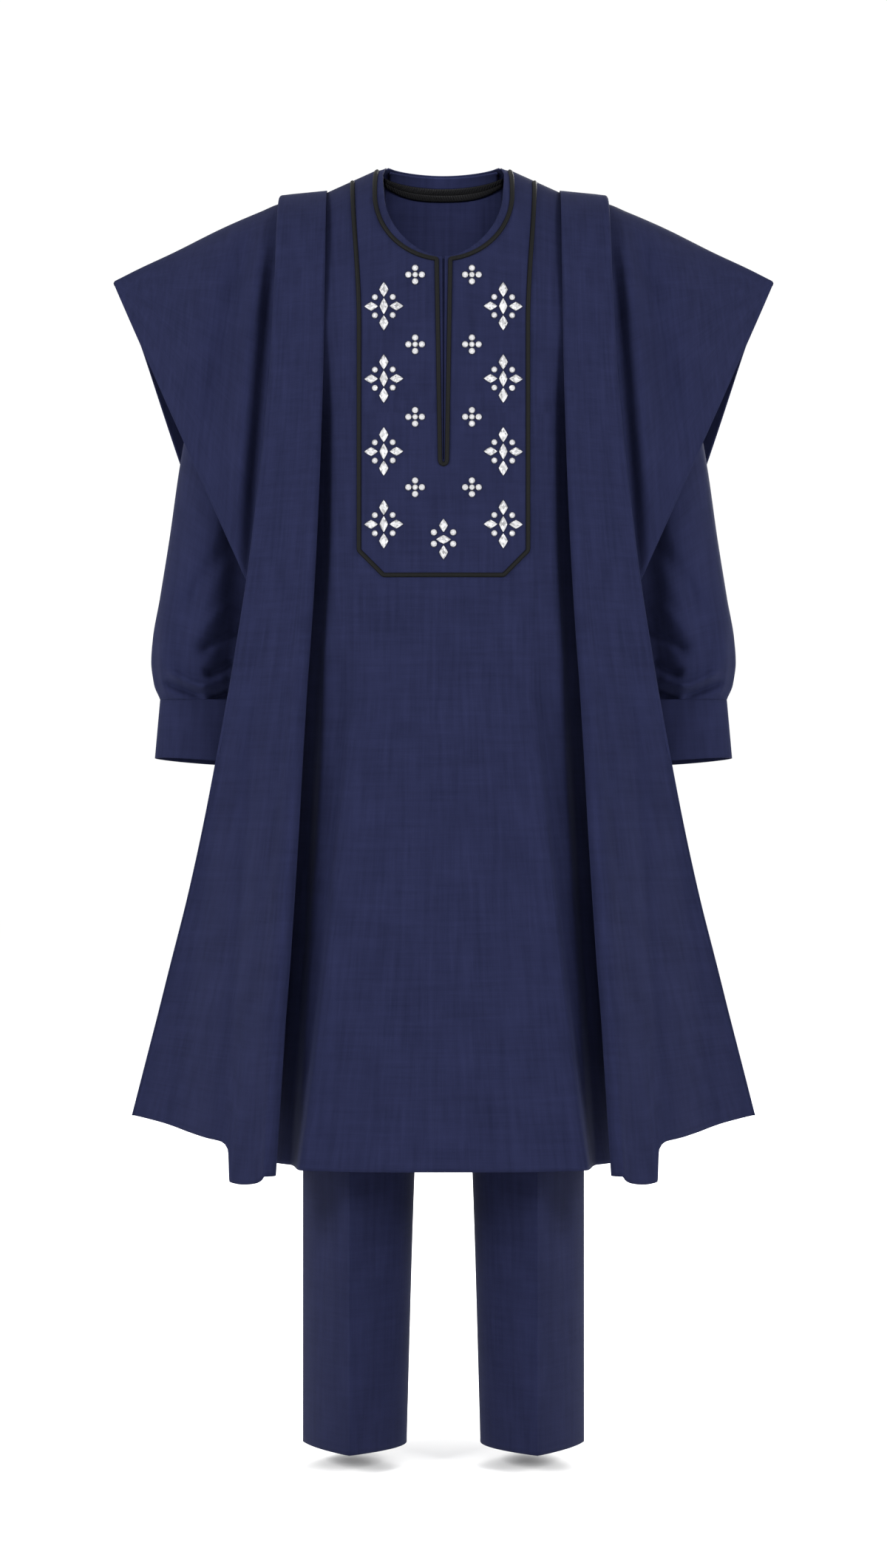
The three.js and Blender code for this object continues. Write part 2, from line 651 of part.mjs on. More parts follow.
const neckCordPath = [...otherHalf, [0, slitBottomZ - SLIT_CORD.turn], ...halfCord];
addPiece('neck_and_slit_piping', pipingGeometry(neckCordPath, 'front'), BLACK);

// Piping round the bib, from shoulder to shoulder.
const bibSide = [];
for (let k = 0; k <= BIB_CORD.sideSteps; k += 1) {
  const z = mix(BIB_CORD.top, BIB.bottom + BIB.chamferRise, (k / BIB_CORD.sideSteps) ** 2);
  bibSide.push([mix(BIB.top, BIB.side, ease(-z / BIB_CORD.straightBy)), z]);
}
const bibCornerX = BIB.side - BIB.chamfer;
const bibBottom = [];
for (let k = 0; k <= BIB_CORD.bottomSteps; k += 1) {
  bibBottom.push([mix(-bibCornerX, bibCornerX, k / BIB_CORD.bottomSteps), BIB.bottom]);
}
const bibPath = [...bibSide.map(([x, z]) => [-x, z]), ...bibBottom, ...[...bibSide].reverse()];
addPiece('bib_piping', pipingGeometry(bibPath, 'front'), BLACK);

// Strip of cloth that closes the slit from behind.
const lapGrid = [];
for (let i = 0; i <= UNDERLAP.steps; i += 1) {
  const z = mix(NECK.centre - NECK.radius - UNDERLAP.above, UNDERLAP.bottom, i / UNDERLAP.steps);
  lapGrid.push([-1, 0, 1].map((u) => onTunic(u * UNDERLAP.half, z, 'front', 'inner', -HALF - SEAM)));
}
addPiece('slit_underlap', clothGeometry(lapGrid), NAVY);

// Facing inside the back neck, with a braid along its lower edge.
function backNeckBand(from, to) {
  const grid = [];
  for (let i = 0; i <= 2; i += 1) {
    const row = [];
    for (let j = 0; j <= FACING.steps; j += 1) {
      const x = mix(-FACING.half, FACING.half, j / FACING.steps);
      const narrowing = 1 - FACING.taper * (x / FACING.half) ** 2;
      const z = backNeckZ(x) - mix(from, to, i / 2) * narrowing - FACING.below;
      row.push(onTunic(x, z, 'back', 'inner', -HALF - 2 * SEAM));
    }
    grid.push(row);
  }
  return clothGeometry(grid);
}
addPiece('back_neck_facing', backNeckBand(0, FACING.height - SEAM), NAVY);
addPiece('back_neck_braid', backNeckBand(FACING.height, FACING.height + FACING.braid), BLACK);

// Tunic sleeve and cuff, right side

const RING = 2 * ARMHOLE_STEPS;

function ellipseRing(ring, { swing = 0, ripple = 0, tilt = 0 } = {}) {
  const points = [];
  for (let k = 0; k < RING; k += 1) {
    const angle = (2 * Math.PI * k) / RING;
    const wave = 1 + (ripple * Math.cos(GATHERS.count * angle)) / GATHERS.size;
    const c = Math.cos(angle) * wave;
    const s = Math.sin(angle) * wave;
    const x = mix(ring.inX, ring.outX, (1 + c) / 2);
    const z = mix(ring.inZ, ring.outZ, (1 + c) / 2) + tilt * s;
    points.push(new THREE.Vector3(x, swing - ring.deep * s, z));
  }
  return points;
}

const firstRing = [];
for (let k = 0; k < RING; k += 1) {
  const step = k <= ARMHOLE_STEPS ? k : RING - k;
  const side = k <= ARMHOLE_STEPS ? 'front' : 'back';
  const z = armholeLevels[step];
  const p = tunicPoint(tunicEdge(z), z, side);
  if (step === 0 || step === ARMHOLE_STEPS) p.y = 0;
  p.x += SEAM + ARMPIT_EASE * (step / ARMHOLE_STEPS) ** 3;
  firstRing.push(p);
}
const sleeveGrid = [firstRing];
SLEEVE_RINGS.forEach((ring, i) => {
  const t = i / (SLEEVE_RINGS.length - 1);
  const gathered = i < SLEEVE_RINGS.length - 1 ? ease((t - GATHERS.from) * GATHERS.over) : 0;
  const ripple = GATHERS.depth * gathered;
  sleeveGrid.push(ellipseRing(ring, { swing: SLEEVE_SWING * t, ripple }));
});
const cuffNormal = (k) => {
  const angle = (2 * Math.PI * k) / RING;
  const half = (CUFF.outX - CUFF.inX) / 2;
  return new THREE.Vector3(Math.cos(angle) / half, -Math.sin(angle) / CUFF.deep, 0).normalize();
};
const sleeveNormal = (i, k) => {
  if (i === SLEEVE_RINGS.length) return cuffNormal(k);
  if (i > 0) return null;
  const step = k <= ARMHOLE_STEPS ? k : RING - k;
  const under = step === ARMHOLE_STEPS ? -1 : 1;
  return armholeNormal(step, 1, k <= ARMHOLE_STEPS ? -1 : 1).multiplyScalar(under);
};
addPair('tunic_sleeve', clothGeometry(sleeveGrid, { ring: true, normalAt: sleeveNormal }), NAVY);

const cuffGrid = [0, 1].map((t) => {
  const ring = {
    outX: mix(CUFF.outX, CUFF.hemOutX, t),
    outZ: mix(CUFF.outZ, CUFF.hemOutZ, t),
    inX: mix(CUFF.inX, CUFF.hemInX, t),
    inZ: mix(CUFF.inZ, CUFF.hemInZ, t),
    deep: CUFF.deep,
  };
  return ellipseRing(ring, { swing: SLEEVE_SWING, tilt: CUFF.tilt * t });
});
const cuffTop = (i, k) => (i === 0 ? cuffNormal(k) : null);
addPair('tunic_cuff', clothGeometry(cuffGrid, { ring: true, normalAt: cuffTop }), NAVY);

// Robe, right side

// Point in the flat part of a robe panel: u from the inner to the outer edge.
function robeLevel(u, z) {
  const inner = read(ROBE_LEVELS, 'z', z, 'inner');
  const outer = read(ROBE_LEVELS, 'z', z, 'outer');
  const innerY = read(ROBE_LEVELS, 'z', z, 'innerY');
  const outerY = read(ROBE_LEVELS, 'z', z, 'outerY');
  const x = mix(inner, outer, u);
  const swell = mix(u, u * u * (3 - 2 * u), 0.5);
  return { x, depth: mix(innerY, outerY, swell) };
}

const STRIP_ARC = 7;
const HEM_INNER_Y = 138;
const SIDE_Y = 1.4;
const LOWER_LEVELS = [-270, -380, -480, -560, -640, -710, -775, -840, -900, -960];
const HEM_STEPS = 2;
const robeRows = [];
for (let k = 0; k <= STRIP_ARC; k += 1) robeRows.push({ arc: k / STRIP_ARC });
for (const z of LOWER_LEVELS) robeRows.push({ z });
for (let k = 1; k <= HEM_STEPS; k += 1) robeRows.push({ hem: k / HEM_STEPS });

// Mid point of the robe at a row, and the direction towards the body there.
function robePoint(row, u, sign) {
  if (row.arc !== undefined) {
    const angle = (row.arc * Math.PI) / 2;
    const drop = STRIP.round * (1 - Math.cos(angle));
    const top = mix(STRIP.innerZ, STRIP.outerZ, u);
    const z = top - drop;
    const level = robeLevel(u, z);
    const x = mix(mix(STRIP.inner, STRIP.outer, u), level.x, row.arc);
    const y = sign * (level.depth * Math.sin(angle) + SEAM / 2);
    const inward = new THREE.Vector3(0, -sign * Math.sin(angle), -Math.cos(angle));
    return { p: new THREE.Vector3(x, y, z), inward };
  }
  const inward = new THREE.Vector3(0, -sign, 0);
  if (row.z !== undefined) {
    const level = robeLevel(u, row.z);
    return { p: new THREE.Vector3(level.x, sign * level.depth, row.z), inward };
  }
  const lastZ = LOWER_LEVELS[LOWER_LEVELS.length - 1];
  const start = robeLevel(u, lastZ);
  const x = mix(start.x, read(ROBE_HEM, 'u', u, 'x'), row.hem);
  const z = mix(lastZ, read(ROBE_HEM, 'u', u, 'z'), row.hem);
  const innerY = mix(ROBE_LEVELS[ROBE_LEVELS.length - 1].innerY, HEM_INNER_Y, row.hem);
  const depth = mix(innerY, SIDE_Y, mix(u, u * u * (3 - 2 * u), 0.5));
  return { p: new THREE.Vector3(x, sign * depth, z), inward };
}

const ROBE_COLUMNS = [0.13, 0.29, 0.32, 0.36, 0.55, 0.78];
const ROLL_STEPS = 3;

function innerRoll(row, sign) {
  const { p, inward } = robePoint(row, 0, sign);
  const turn = radians(read(INNER_ROLL, 'z', p.z, 'turn'));
  const room = Math.abs(p.y) - tunicDepth(p.x, p.z, 'front') - CLOTH - 2 * SEAM;
  const fitting = Math.max(room / (1 - Math.cos(turn)), CLOTH);
  const radius = Math.min(read(INNER_ROLL, 'z', p.z, 'radius'), fitting);
  const reach = radius * Math.sin(Math.min(turn, Math.PI / 2));
  const points = [];
  for (let k = ROLL_STEPS; k >= 0; k -= 1) {
    const angle = (turn * k) / ROLL_STEPS;
    const q = p.clone();
    q.x += reach - radius * Math.sin(angle);
    q.addScaledVector(inward, radius * (1 - Math.cos(angle)));
    points.push(q);
  }
  return points;
}

function outerRoll(row, sign) {
  const { p, inward } = robePoint(row, 1, sign);
  const radius = read(OUTER_ROLL, 'z', p.z, 'radius');
  const turn = radians(read(OUTER_ROLL, 'z', p.z, 'turn'));
  const tail = read(OUTER_ROLL, 'z', p.z, 'tail');
  const reach = turn < Math.PI / 2 ? radius * Math.sin(turn) + tail * Math.cos(turn) : radius;
  const points = [];
  for (let k = 0; k <= ROLL_STEPS; k += 1) {
    const angle = (turn * k) / ROLL_STEPS;
    const q = p.clone();
    q.x += radius * Math.sin(angle) - reach;
    q.addScaledVector(inward, radius * (1 - Math.cos(angle)));
    points.push(q);
  }
  const end = points[ROLL_STEPS].clone();
  end.x += tail * Math.cos(turn);
  end.addScaledVector(inward, tail * Math.sin(turn));
  points.push(end);
  return points;
}

function robeSideRow(row, sign) {
  const start = innerRoll(row, sign);
  const middle = ROBE_COLUMNS.map((u) => robePoint(row, u, sign).p);
  const end = outerRoll(row, sign);
  return { start, middle, end };
}

const robeFrontGrid = robeRows.map((row) => {
  const { start, middle, end } = robeSideRow(row, -1);
  return [...start, ...middle, ...end];
});
const ridgeRow = robeFrontGrid[0];
function ridgeNormal(i, j) {
  if (i > 0) return null;
  const before = ridgeRow[Math.max(j - 1, 0)];
  const after = ridgeRow[Math.min(j + 1, ridgeRow.length - 1)];
  return new THREE.Vector3(after.z - before.z, 0, before.x - after.x).normalize();
}
addPair('robe_front', clothGeometry(robeFrontGrid, { normalAt: ridgeNormal }), NAVY);

// Robe back: the two pleated sides joined by the middle of the panel.
const MIDDLE_COLUMNS = [-0.97, -0.9, -0.78, -0.58, -0.3, 0, 0.3, 0.58, 0.78, 0.9, 0.97];
function robeBackRow(row) {
  const middle = ROBE_COLUMNS.map((u) => robePoint(row, u, 1).p);
  const edge = robePoint(row, 0, 1).p;
  const end = outerRoll(row, 1);
  const side = [edge, ...middle, ...end];
  const neckDrop = 1 - ease((STRIP.innerZ - edge.z) / ROBE_NECK_FADE);
  const centre = MIDDLE_COLUMNS.map((u) => {
    const hang = (1 - u * u) * (ROBE_BACK_NECK - STRIP.innerZ) * neckDrop;
    const hemDrop = row.hem ? (BACK_HEM_CENTRE - edge.z) * (1 - u * u) * row.hem : 0;
    const z = edge.z + hang + hemDrop;
    const level = robeLevel(0, z).depth;
    const deep = mix(read(ROBE_BACK_CENTRE, 'z', z, 'y'), level, Math.abs(u) ** ROBE_BACK_ROUNDING);
    const hanging = deep * roundOver(STRIP.innerZ - z, STRIP.round);
    const overTunic = tunicDepth(edge.x * u, z, 'back') + ROBE_BACK_EASE;
    return new THREE.Vector3(edge.x * u, Math.max(hanging, overTunic) + SEAM / 2, z);
  });
  const left = [...side].reverse().map((p) => new THREE.Vector3(-p.x, p.y, p.z));
  return [...left, ...centre, ...side];
}
const robeBack = solidOf(clothGeometry(robeRows.map(robeBackRow))).subtract(swollen('back'));
addPiece('robe_back', geometryOf(robeBack), NAVY);

// Wing: one piece over the shoulder, front and back layers joined at the ridge.
const WING_COLUMNS = [0, 0.07, 0.16, 0.27, 0.4, 0.55, 0.7, 0.84, 0.94, 1];
const WING_ROWS = [0.0106, 0.0418, 0.0913, 0.156, 0.231, 0.32, 0.46, 0.62, 0.8, 1];

function wingPoint(u, v) {
  const first = WING_RIDGE[0].x;
  const last = WING_RIDGE[WING_RIDGE.length - 1].x;
  const topX = mix(first, last, u);
  const topZ = read(WING_RIDGE, 'x', topX, 'z');
  const hem = v < 0 ? WING_BACK_HEM : WING_FRONT_HEM;
  const down = Math.abs(v);
  const x = mix(topX, mix(hem.innerX, hem.tipX, u), down);
  const z = mix(topZ, mix(hem.innerZ, hem.tipZ, u), down);
  const drop = read(WING_RIDGE, 'x', x, 'z') - z;
  const deep = read(WING_RIDGE, 'x', x, 'deep') * roundOver(drop, STRIP.round);
  return new THREE.Vector3(x, -Math.sign(v) * deep, z);
}
const wingRows = [...[...WING_ROWS].reverse().map((v) => -v), 0, ...WING_ROWS];
addPair('robe_wing', clothGeometry(wingRows.map((v) => WING_COLUMNS.map((u) => wingPoint(u, v)))), NAVY);

// Trousers

const HIP_ARC = [0, 9, 18, 27, 36, 47, 58, 69, 80, 90, 100, 111, 122, 133, 144, 153, 162, 171, 180];
const INNER_STEPS = 6;
const FRONT_CREASE = 4;
const OUTER_SIDE = 9;
const BACK_CREASE = 14;
const INNER_SIDE = 21;
const LEG_POINTS = 24;

// Half of the hip section, closed by the straight middle line.
function hipPoint(ring, j) {
  if (j < HIP_ARC.length) {
    const angle = radians(HIP_ARC[j]);
    const x = mix(ring.inner, ring.outer, Math.sin(angle));
    return [x, -ring.deep * Math.cos(angle)];
  }
  const t = (j - HIP_ARC.length + 1) / INNER_STEPS;
  return [ring.inner, mix(ring.deep, -ring.deep, t)];
}

// Pressed leg: pointed at the creases and round at the sides.
function legPoint(ring, j) {
  const arcs = [
    { from: INNER_SIDE, to: LEG_POINTS + FRONT_CREASE, side: -1, sign: -1, rise: true },
    { from: FRONT_CREASE, to: OUTER_SIDE, side: 1, sign: -1, rise: false },
    { from: OUTER_SIDE, to: BACK_CREASE, side: 1, sign: 1, rise: true },
    { from: BACK_CREASE, to: INNER_SIDE, side: -1, sign: 1, rise: false },
  ];
  const index = j < FRONT_CREASE ? j + LEG_POINTS : j;
  const arc = arcs.find((a) => index >= a.from && index <= a.to);
  const part = (index - arc.from) / (arc.to - arc.from);
  const t = arc.rise ? part : 1 - part;
  const reach = arc.side > 0 ? ring.outer - ring.crease : ring.crease - ring.inner;
  return [ring.crease + arc.side * reach * (1 - t * t), arc.sign * ring.deep * t];
}

const legGrid = LEG_RINGS.map((ring) => {
  const points = [];
  for (let j = 0; j < LEG_POINTS; j += 1) {
    const [hx, hy] = hipPoint(ring, j);
    const [lx, ly] = legPoint(ring, j);
    points.push(new THREE.Vector3(mix(hx, lx, ring.leg), mix(hy, ly, ring.leg), ring.z));
  }
  return points;
});

// The middle wall is cut away above the crotch, so both halves share one waist.
const wallInset = HALF + CROTCH.wall;
const crotchOutline = [];
const hipRings = LEG_RINGS.filter((ring) => ring.z >= CROTCH_Z + CROTCH.ease);
for (const ring of hipRings) crotchOutline.push([-(ring.deep - wallInset), ring.z]);
crotchOutline[0][1] += CROTCH.clear;
for (let k = 1; k < CROTCH.arcSteps; k += 1) {
  const angle = (Math.PI * k) / CROTCH.arcSteps;
  const z = CROTCH_Z + CROTCH.arcTop - CROTCH.arcDrop * Math.sin(angle);
  crotchOutline.push([-CROTCH.reach * Math.cos(angle), z]);
}
const rearRings = [...hipRings].reverse();
for (const ring of rearRings) crotchOutline.push([ring.deep - wallInset, ring.z]);
crotchOutline[crotchOutline.length - 1][1] += CROTCH.clear;
const cutter = prismAlongY(crotchOutline, CROTCH_CUT.from, CROTCH_CUT.to);
cutter.rotateZ(-Math.PI / 2);
const cutterPoints = [...cutter.getAttribute('position').array];
const crotchCut = solidOf(closedGeometry(cutterPoints, [...cutter.getIndex().array]));
const leg = solidOf(clothGeometry(legGrid, { ring: true })).subtract(crotchCut);
addPair('trouser_leg', geometryOf(leg), NAVY);

// Waistband: a plain ring on top of both halves.
const bandGrid = [0, 1].map((t) => {
  const points = [];
  for (let k = 0; k < BAND.points; k += 1) {
    const angle = (2 * Math.PI * k) / BAND.points;
    const half = mix(BAND.topHalf, BAND.footHalf, t);
    const deep = mix(BAND.topDeep, BAND.footDeep, t);
    const z = mix(WAIST_Z + BAND_HEIGHT, WAIST_Z, t);
    points.push(new THREE.Vector3(half * Math.sin(angle), -deep * Math.cos(angle), z));
  }
  return points;
});
addPiece('waistband', clothGeometry(bandGrid, { ring: true }), NAVY);

export default group;
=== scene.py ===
import math

import bmesh
import bpy
import numpy as np
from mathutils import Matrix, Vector


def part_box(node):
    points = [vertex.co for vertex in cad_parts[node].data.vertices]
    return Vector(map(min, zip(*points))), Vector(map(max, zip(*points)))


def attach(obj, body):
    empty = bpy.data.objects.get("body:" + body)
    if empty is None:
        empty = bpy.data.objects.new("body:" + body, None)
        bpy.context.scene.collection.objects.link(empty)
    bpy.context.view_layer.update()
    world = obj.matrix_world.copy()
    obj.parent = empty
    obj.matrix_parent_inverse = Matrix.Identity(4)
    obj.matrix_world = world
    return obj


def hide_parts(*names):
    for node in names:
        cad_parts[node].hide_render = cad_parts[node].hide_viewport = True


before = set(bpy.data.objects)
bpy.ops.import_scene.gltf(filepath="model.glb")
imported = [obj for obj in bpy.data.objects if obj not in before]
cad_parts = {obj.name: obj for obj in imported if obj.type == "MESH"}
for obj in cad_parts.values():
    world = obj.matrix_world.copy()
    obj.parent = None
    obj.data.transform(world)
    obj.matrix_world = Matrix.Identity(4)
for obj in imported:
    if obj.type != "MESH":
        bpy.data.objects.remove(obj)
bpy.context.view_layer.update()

# Studio
# A pale floor a little below the trouser hems, a white surround, large soft lights at both sides
# and a narrow one aimed into the neck, with a level camera at the height of the hips.
CAMERA_HEIGHT = -0.700
CAMERA_DISTANCE = 3.75
FRAME_HEIGHT = 1.782
SENSOR = 36.0
FLOOR_BELOW_HEM = 0.024
FLOOR_SIZE = 30.0
SURROUND = 1.03
SOFT_LIGHTS = [
    dict(name="key_light", place=(-2.95, -2.45, 0.75), size=1.5, power=172.0),
    dict(name="fill_light", place=(2.95, -2.45, 0.65), size=1.5, power=150.0),
    dict(name="back_light", place=(1.1, 3.7, 0.8), size=2.0, power=130.0),
]
NECK_LIGHT = dict(
    place=(0, -2.6, 0.75), towards=(0, 0.08, -0.035), cone=3.6, blend=0.9, radius=0.03, power=700.0
)

scene = bpy.context.scene
scene.view_settings.view_transform = "Standard"
hem_height = min(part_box("trouser_leg_right")[0].z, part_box("trouser_leg_left")[0].z)

camera_data = bpy.data.cameras.new("camera")
camera_data.sensor_fit = "VERTICAL"
camera_data.sensor_height = SENSOR
camera_data.lens = SENSOR * CAMERA_DISTANCE / FRAME_HEIGHT
camera = bpy.data.objects.new("camera", camera_data)
camera.location = (0, -CAMERA_DISTANCE, CAMERA_HEIGHT)
camera.rotation_euler = (math.pi / 2, 0, 0)
scene.collection.objects.link(camera)
scene.camera = camera


def hang(lamp, plan):
    """Puts a lamp in its place, aimed at the garment or at a point of it."""
    light = bpy.data.objects.new(lamp.name, lamp)
    light.location = plan["place"]
    towards = Vector(plan.get("towards", (0, 0, CAMERA_HEIGHT))) - light.location
    light.rotation_euler = towards.to_track_quat("-Z", "Y").to_euler()
    scene.collection.objects.link(light)


for soft_light in SOFT_LIGHTS:
    lamp = bpy.data.lights.new(soft_light["name"], "AREA")
    lamp.size = soft_light["size"]
    lamp.energy = soft_light["power"]
    hang(lamp, soft_light)

lamp = bpy.data.lights.new("neck_light", "SPOT")
lamp.spot_size = math.radians(NECK_LIGHT["cone"])
lamp.spot_blend = NECK_LIGHT["blend"]
lamp.shadow_soft_size = NECK_LIGHT["radius"]
lamp.energy = NECK_LIGHT["power"]
hang(lamp, NECK_LIGHT)

surround = bpy.data.worlds.new("surround")
surround.use_nodes = True
surround.node_tree.nodes["Background"].inputs["Color"].default_value = (1, 1, 1, 1)
surround.node_tree.nodes["Background"].inputs["Strength"].default_value = SURROUND
scene.world = surround


def new_look(name, values):
    """A finish with the plain values of its shader."""
    look = bpy.data.materials.new(name)
    look.use_nodes = True
    for socket, value in values.items():
        look.node_tree.nodes["Principled BSDF"].inputs[socket].default_value = value
    return look, look.node_tree.nodes, look.node_tree.links


floor_look, _, _ = new_look("pale_floor", {"Base Color": (0.97, 0.97, 0.97, 1), "Roughness": 0.9})
floor_mesh = bpy.data.meshes.new("floor")
floor_shape = bmesh.new()
bmesh.ops.create_grid(floor_shape, x_segments=1, y_segments=1, size=FLOOR_SIZE / 2)
bmesh.ops.translate(floor_shape, verts=floor_shape.verts, vec=(0, 0, hem_height - FLOOR_BELOW_HEM))
floor_shape.to_mesh(floor_mesh)
floor_shape.free()
floor_mesh.materials.append(floor_look)
floor = bpy.data.objects.new("floor", floor_mesh)
scene.collection.objects.link(floor)

# Trouser legs
# Each leg is one length of navy cotton, sewn along its inner and outer side and pressed to a
# crease at the front and the back. Above the crotch both halves share one waist.
CLOTH = 0.0015
SEAM = 0.0003
NAVY_DEEP = (0.0048, 0.0060, 0.0195, 1)
NAVY_LIGHT = (0.0096, 0.0115, 0.0345, 1)
THREAD_PITCH = 0.0006
NAVY_SHADER = {
    "Roughness": 0.82,
    "Specular IOR Level": 0.08,
    "Specular Tint": (0.70, 0.75, 1.0, 1),
    "Sheen Weight": 0.02,
    "Sheen Roughness": 0.45,
    "Sheen Tint": (0.40, 0.48, 1.0, 1),
}
WARP_SLUBS, WEFT_SLUBS = (950, 26, 3), (22, 1100, 3)
WARP_STREAKS, WEFT_STREAKS, CLOUDS = (150, 11, 4), (9, 170, 4), (26, 20, 4)


def measures(columns, *values):
    """A table of measures, each row with its values by column."""
    return [dict(zip(columns.split(), row)) for row in values]


LEG_SECTIONS = measures(
    "z inner outer crease deep leg",
    (-0.433, 0.00095, 0.148, 0.088, 0.0920, 0.0),
    (-0.580, 0.00095, 0.169, 0.097, 0.1022, 0.0),
    (-0.640, 0.00095, 0.172, 0.099, 0.1041, 0.0),
    (-0.700, 0.00095, 0.171, 0.101, 0.1030, 0.12),
    (-0.760, 0.0050, 0.169, 0.102, 0.1000, 0.4),
    (-0.840, 0.0140, 0.166, 0.103, 0.0950, 0.7),
    (-0.960, 0.0240, 0.162, 0.104, 0.0890, 1.0),
    (-1.142, 0.0335, 0.159, 0.1044, 0.0850, 1.0),
    (-1.447, 0.0425, 0.159, 0.1046, 0.0810, 1.0),
)
PRESSED_FLAT = 0.45
LEG_SPOTS = 24
FRONT_CREASE = 4
OUTER_SIDE = 9
BACK_CREASE = 14
HIP_END = 18
INNER_SIDE = 21
HIP_ARC = [0, 9, 18, 27, 36, 47, 58, 69, 80, 90, 100, 111, 122, 133, 144, 153, 162, 171, 180]
CROTCH = -0.652
CROTCH_SAG = 0.040
CROTCH_REACH = 0.096
LEG_FOLDS = measures(
    "x width depth top bottom",
    (0.072, 0.010, -0.0016, -1.10, -1.40),
    (0.135, 0.009, -0.0014, -1.02, -1.36),
    (0.090, 0.008, 0.0012, -1.18, -1.43),
)


def mix(a, b, t):
    return a + (b - a) * t


def ease(t):
    t = np.clip(t, 0, 1)
    return t * t * (3 - 2 * t)


def bell(t):
    return np.exp(-t * t)


def read(table, at, column):
    """Values of one column of a table along its first, by a smooth curve that never overshoots."""
    along = next(iter(table[0]))
    ordered = sorted(table, key=lambda row: row[along])
    places = np.array([row[along] for row in ordered])
    values = np.array([row[column] for row in ordered])
    slope = np.diff(values) / np.diff(places)
    before, after = slope[:-1], slope[1:]
    rising = before * after > 0
    tangent = np.empty(len(places))
    tangent[0], tangent[-1] = slope[0], slope[-1]
    tangent[1:-1] = np.where(rising, 2 * before * after / np.where(rising, before + after, 1), 0)
    at = np.clip(at, places[0], places[-1])
    k = np.clip(np.searchsorted(places, at, side="right") - 1, 0, len(places) - 2)
    span = places[k + 1] - places[k]
    t = (at - places[k]) / span
    bend = t * (1 - t) ** 2 * tangent[k] + t * t * (t - 1) * tangent[k + 1]
    return mix(values[k], values[k + 1], t * t * (3 - 2 * t)) + span * bend


def read_all(table, at):
    return {column: read(table, at, column) for column in list(table[0])[1:]}


def fading(z, top, bottom, share=0.3):
    """1 between two heights, easing to 0 at both."""
    t = (top - z) / (top - bottom)
    return ease(t / share) * ease((1 - t) / share)


def fold_height(fold, x, line, z, share=0.3):
    """Height of a soft upright fold, where the line is the x of its crest."""
    crest = fold["depth"] * bell((x - line) / fold["width"])
    return crest * fading(z, fold["top"], fold["bottom"], share)


def rest_of(t, start):
    """Share of the way from a start to the end."""
    return np.clip((t - start) / (1 - start), 0, 1)


def weave(columns, rows, width, length, shape, joined=False, crowded=None):
    """A grid of cloth with its threads laid out flat, in metres, brought to its worn shape.

    Where crowded gives shares of the rows against shares of the length, rows stand closer."""
    cloth = bmesh.new()
    bmesh.ops.create_grid(cloth, x_segments=columns, y_segments=rows, size=0.5)
    if crowded:
        for vert in cloth.verts:
            vert.co.y = 0.5 - float(np.interp(0.5 - vert.co.y, *crowded))
    threads = cloth.loops.layers.uv.new("threads")
    for face in cloth.faces:
        for loop in face.loops:
            loop[threads].uv = ((loop.vert.co.x + 0.5) * width, (loop.vert.co.y + 0.5) * length)
    flat = np.array([vert.co[:2] for vert in cloth.verts])
    worn = np.stack(shape(flat[:, 0] + 0.5, 0.5 - flat[:, 1]), axis=1)
    for vert, place in zip(cloth.verts, worn):
        vert.co = place
    if joined:
        bmesh.ops.remove_doubles(cloth, verts=cloth.verts, dist=SEAM / 10)
    return cloth


def mirrored(cloth):
    """The same cloth for the other side of the body."""
    other = cloth.copy()
    bmesh.ops.scale(other, verts=other.verts, vec=(-1, 1, 1))
    bmesh.ops.reverse_faces(other, faces=other.faces)
    return other


def new_piece(cloth, name, look):
    """An object made of a shape, smooth, with one finish, in its place on the garment."""
    mesh = bpy.data.meshes.new(name)
    cloth.to_mesh(mesh)
    cloth.free()
    mesh.materials.append(look)
    mesh.shade_smooth()
    piece = bpy.data.objects.new(name, mesh)
    scene.collection.objects.link(piece)
    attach(piece, "root")
    return piece


def give_wall(piece):
    wall = piece.modifiers.new("wall", "SOLIDIFY")
    wall.thickness = CLOTH
    wall.offset = 0


def sewn_cloth(cloth, node):
    """A piece of navy cloth with its wall, standing for its solid."""
    piece = new_piece(cloth, node + "_cloth", navy_cloth)
    give_wall(piece)
    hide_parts(node)


def sewn_pair(cloth, node):
    """A piece for the right of the body and its mirrored twin for the left."""
    twin = mirrored(cloth)
    sewn_cloth(cloth, node + "_right")
    sewn_cloth(twin, node + "_left")


def toned(nodes, links, level, stops):
    """Colours by level, between stops of a place and a colour."""
    ramp = nodes.new("ShaderNodeValToRGB")
    tones = ramp.color_ramp.elements
    tones[0].position, tones[0].color = stops[0]
    tones[1].position, tones[1].color = stops[-1]
    for place, color in stops[1:-1]:
        tones.new(place).color = color
    links.new(level, ramp.inputs["Fac"])
    links.new(ramp.outputs["Color"], nodes["Principled BSDF"].inputs["Base Color"])


def raised(nodes, links, height, strength, distance):
    """Fine relief on the surface, too small for the mesh."""
    bump = nodes.new("ShaderNodeBump")
    bump.inputs["Strength"].default_value = strength
    bump.inputs["Distance"].default_value = distance
    links.new(height, bump.inputs["Height"])
    links.new(bump.outputs["Normal"], nodes["Principled BSDF"].inputs["Normal"])


def laid_threads(nodes):
    threads = nodes.new("ShaderNodeUVMap")
    threads.uv_map = "threads"
    return threads.outputs["UV"]


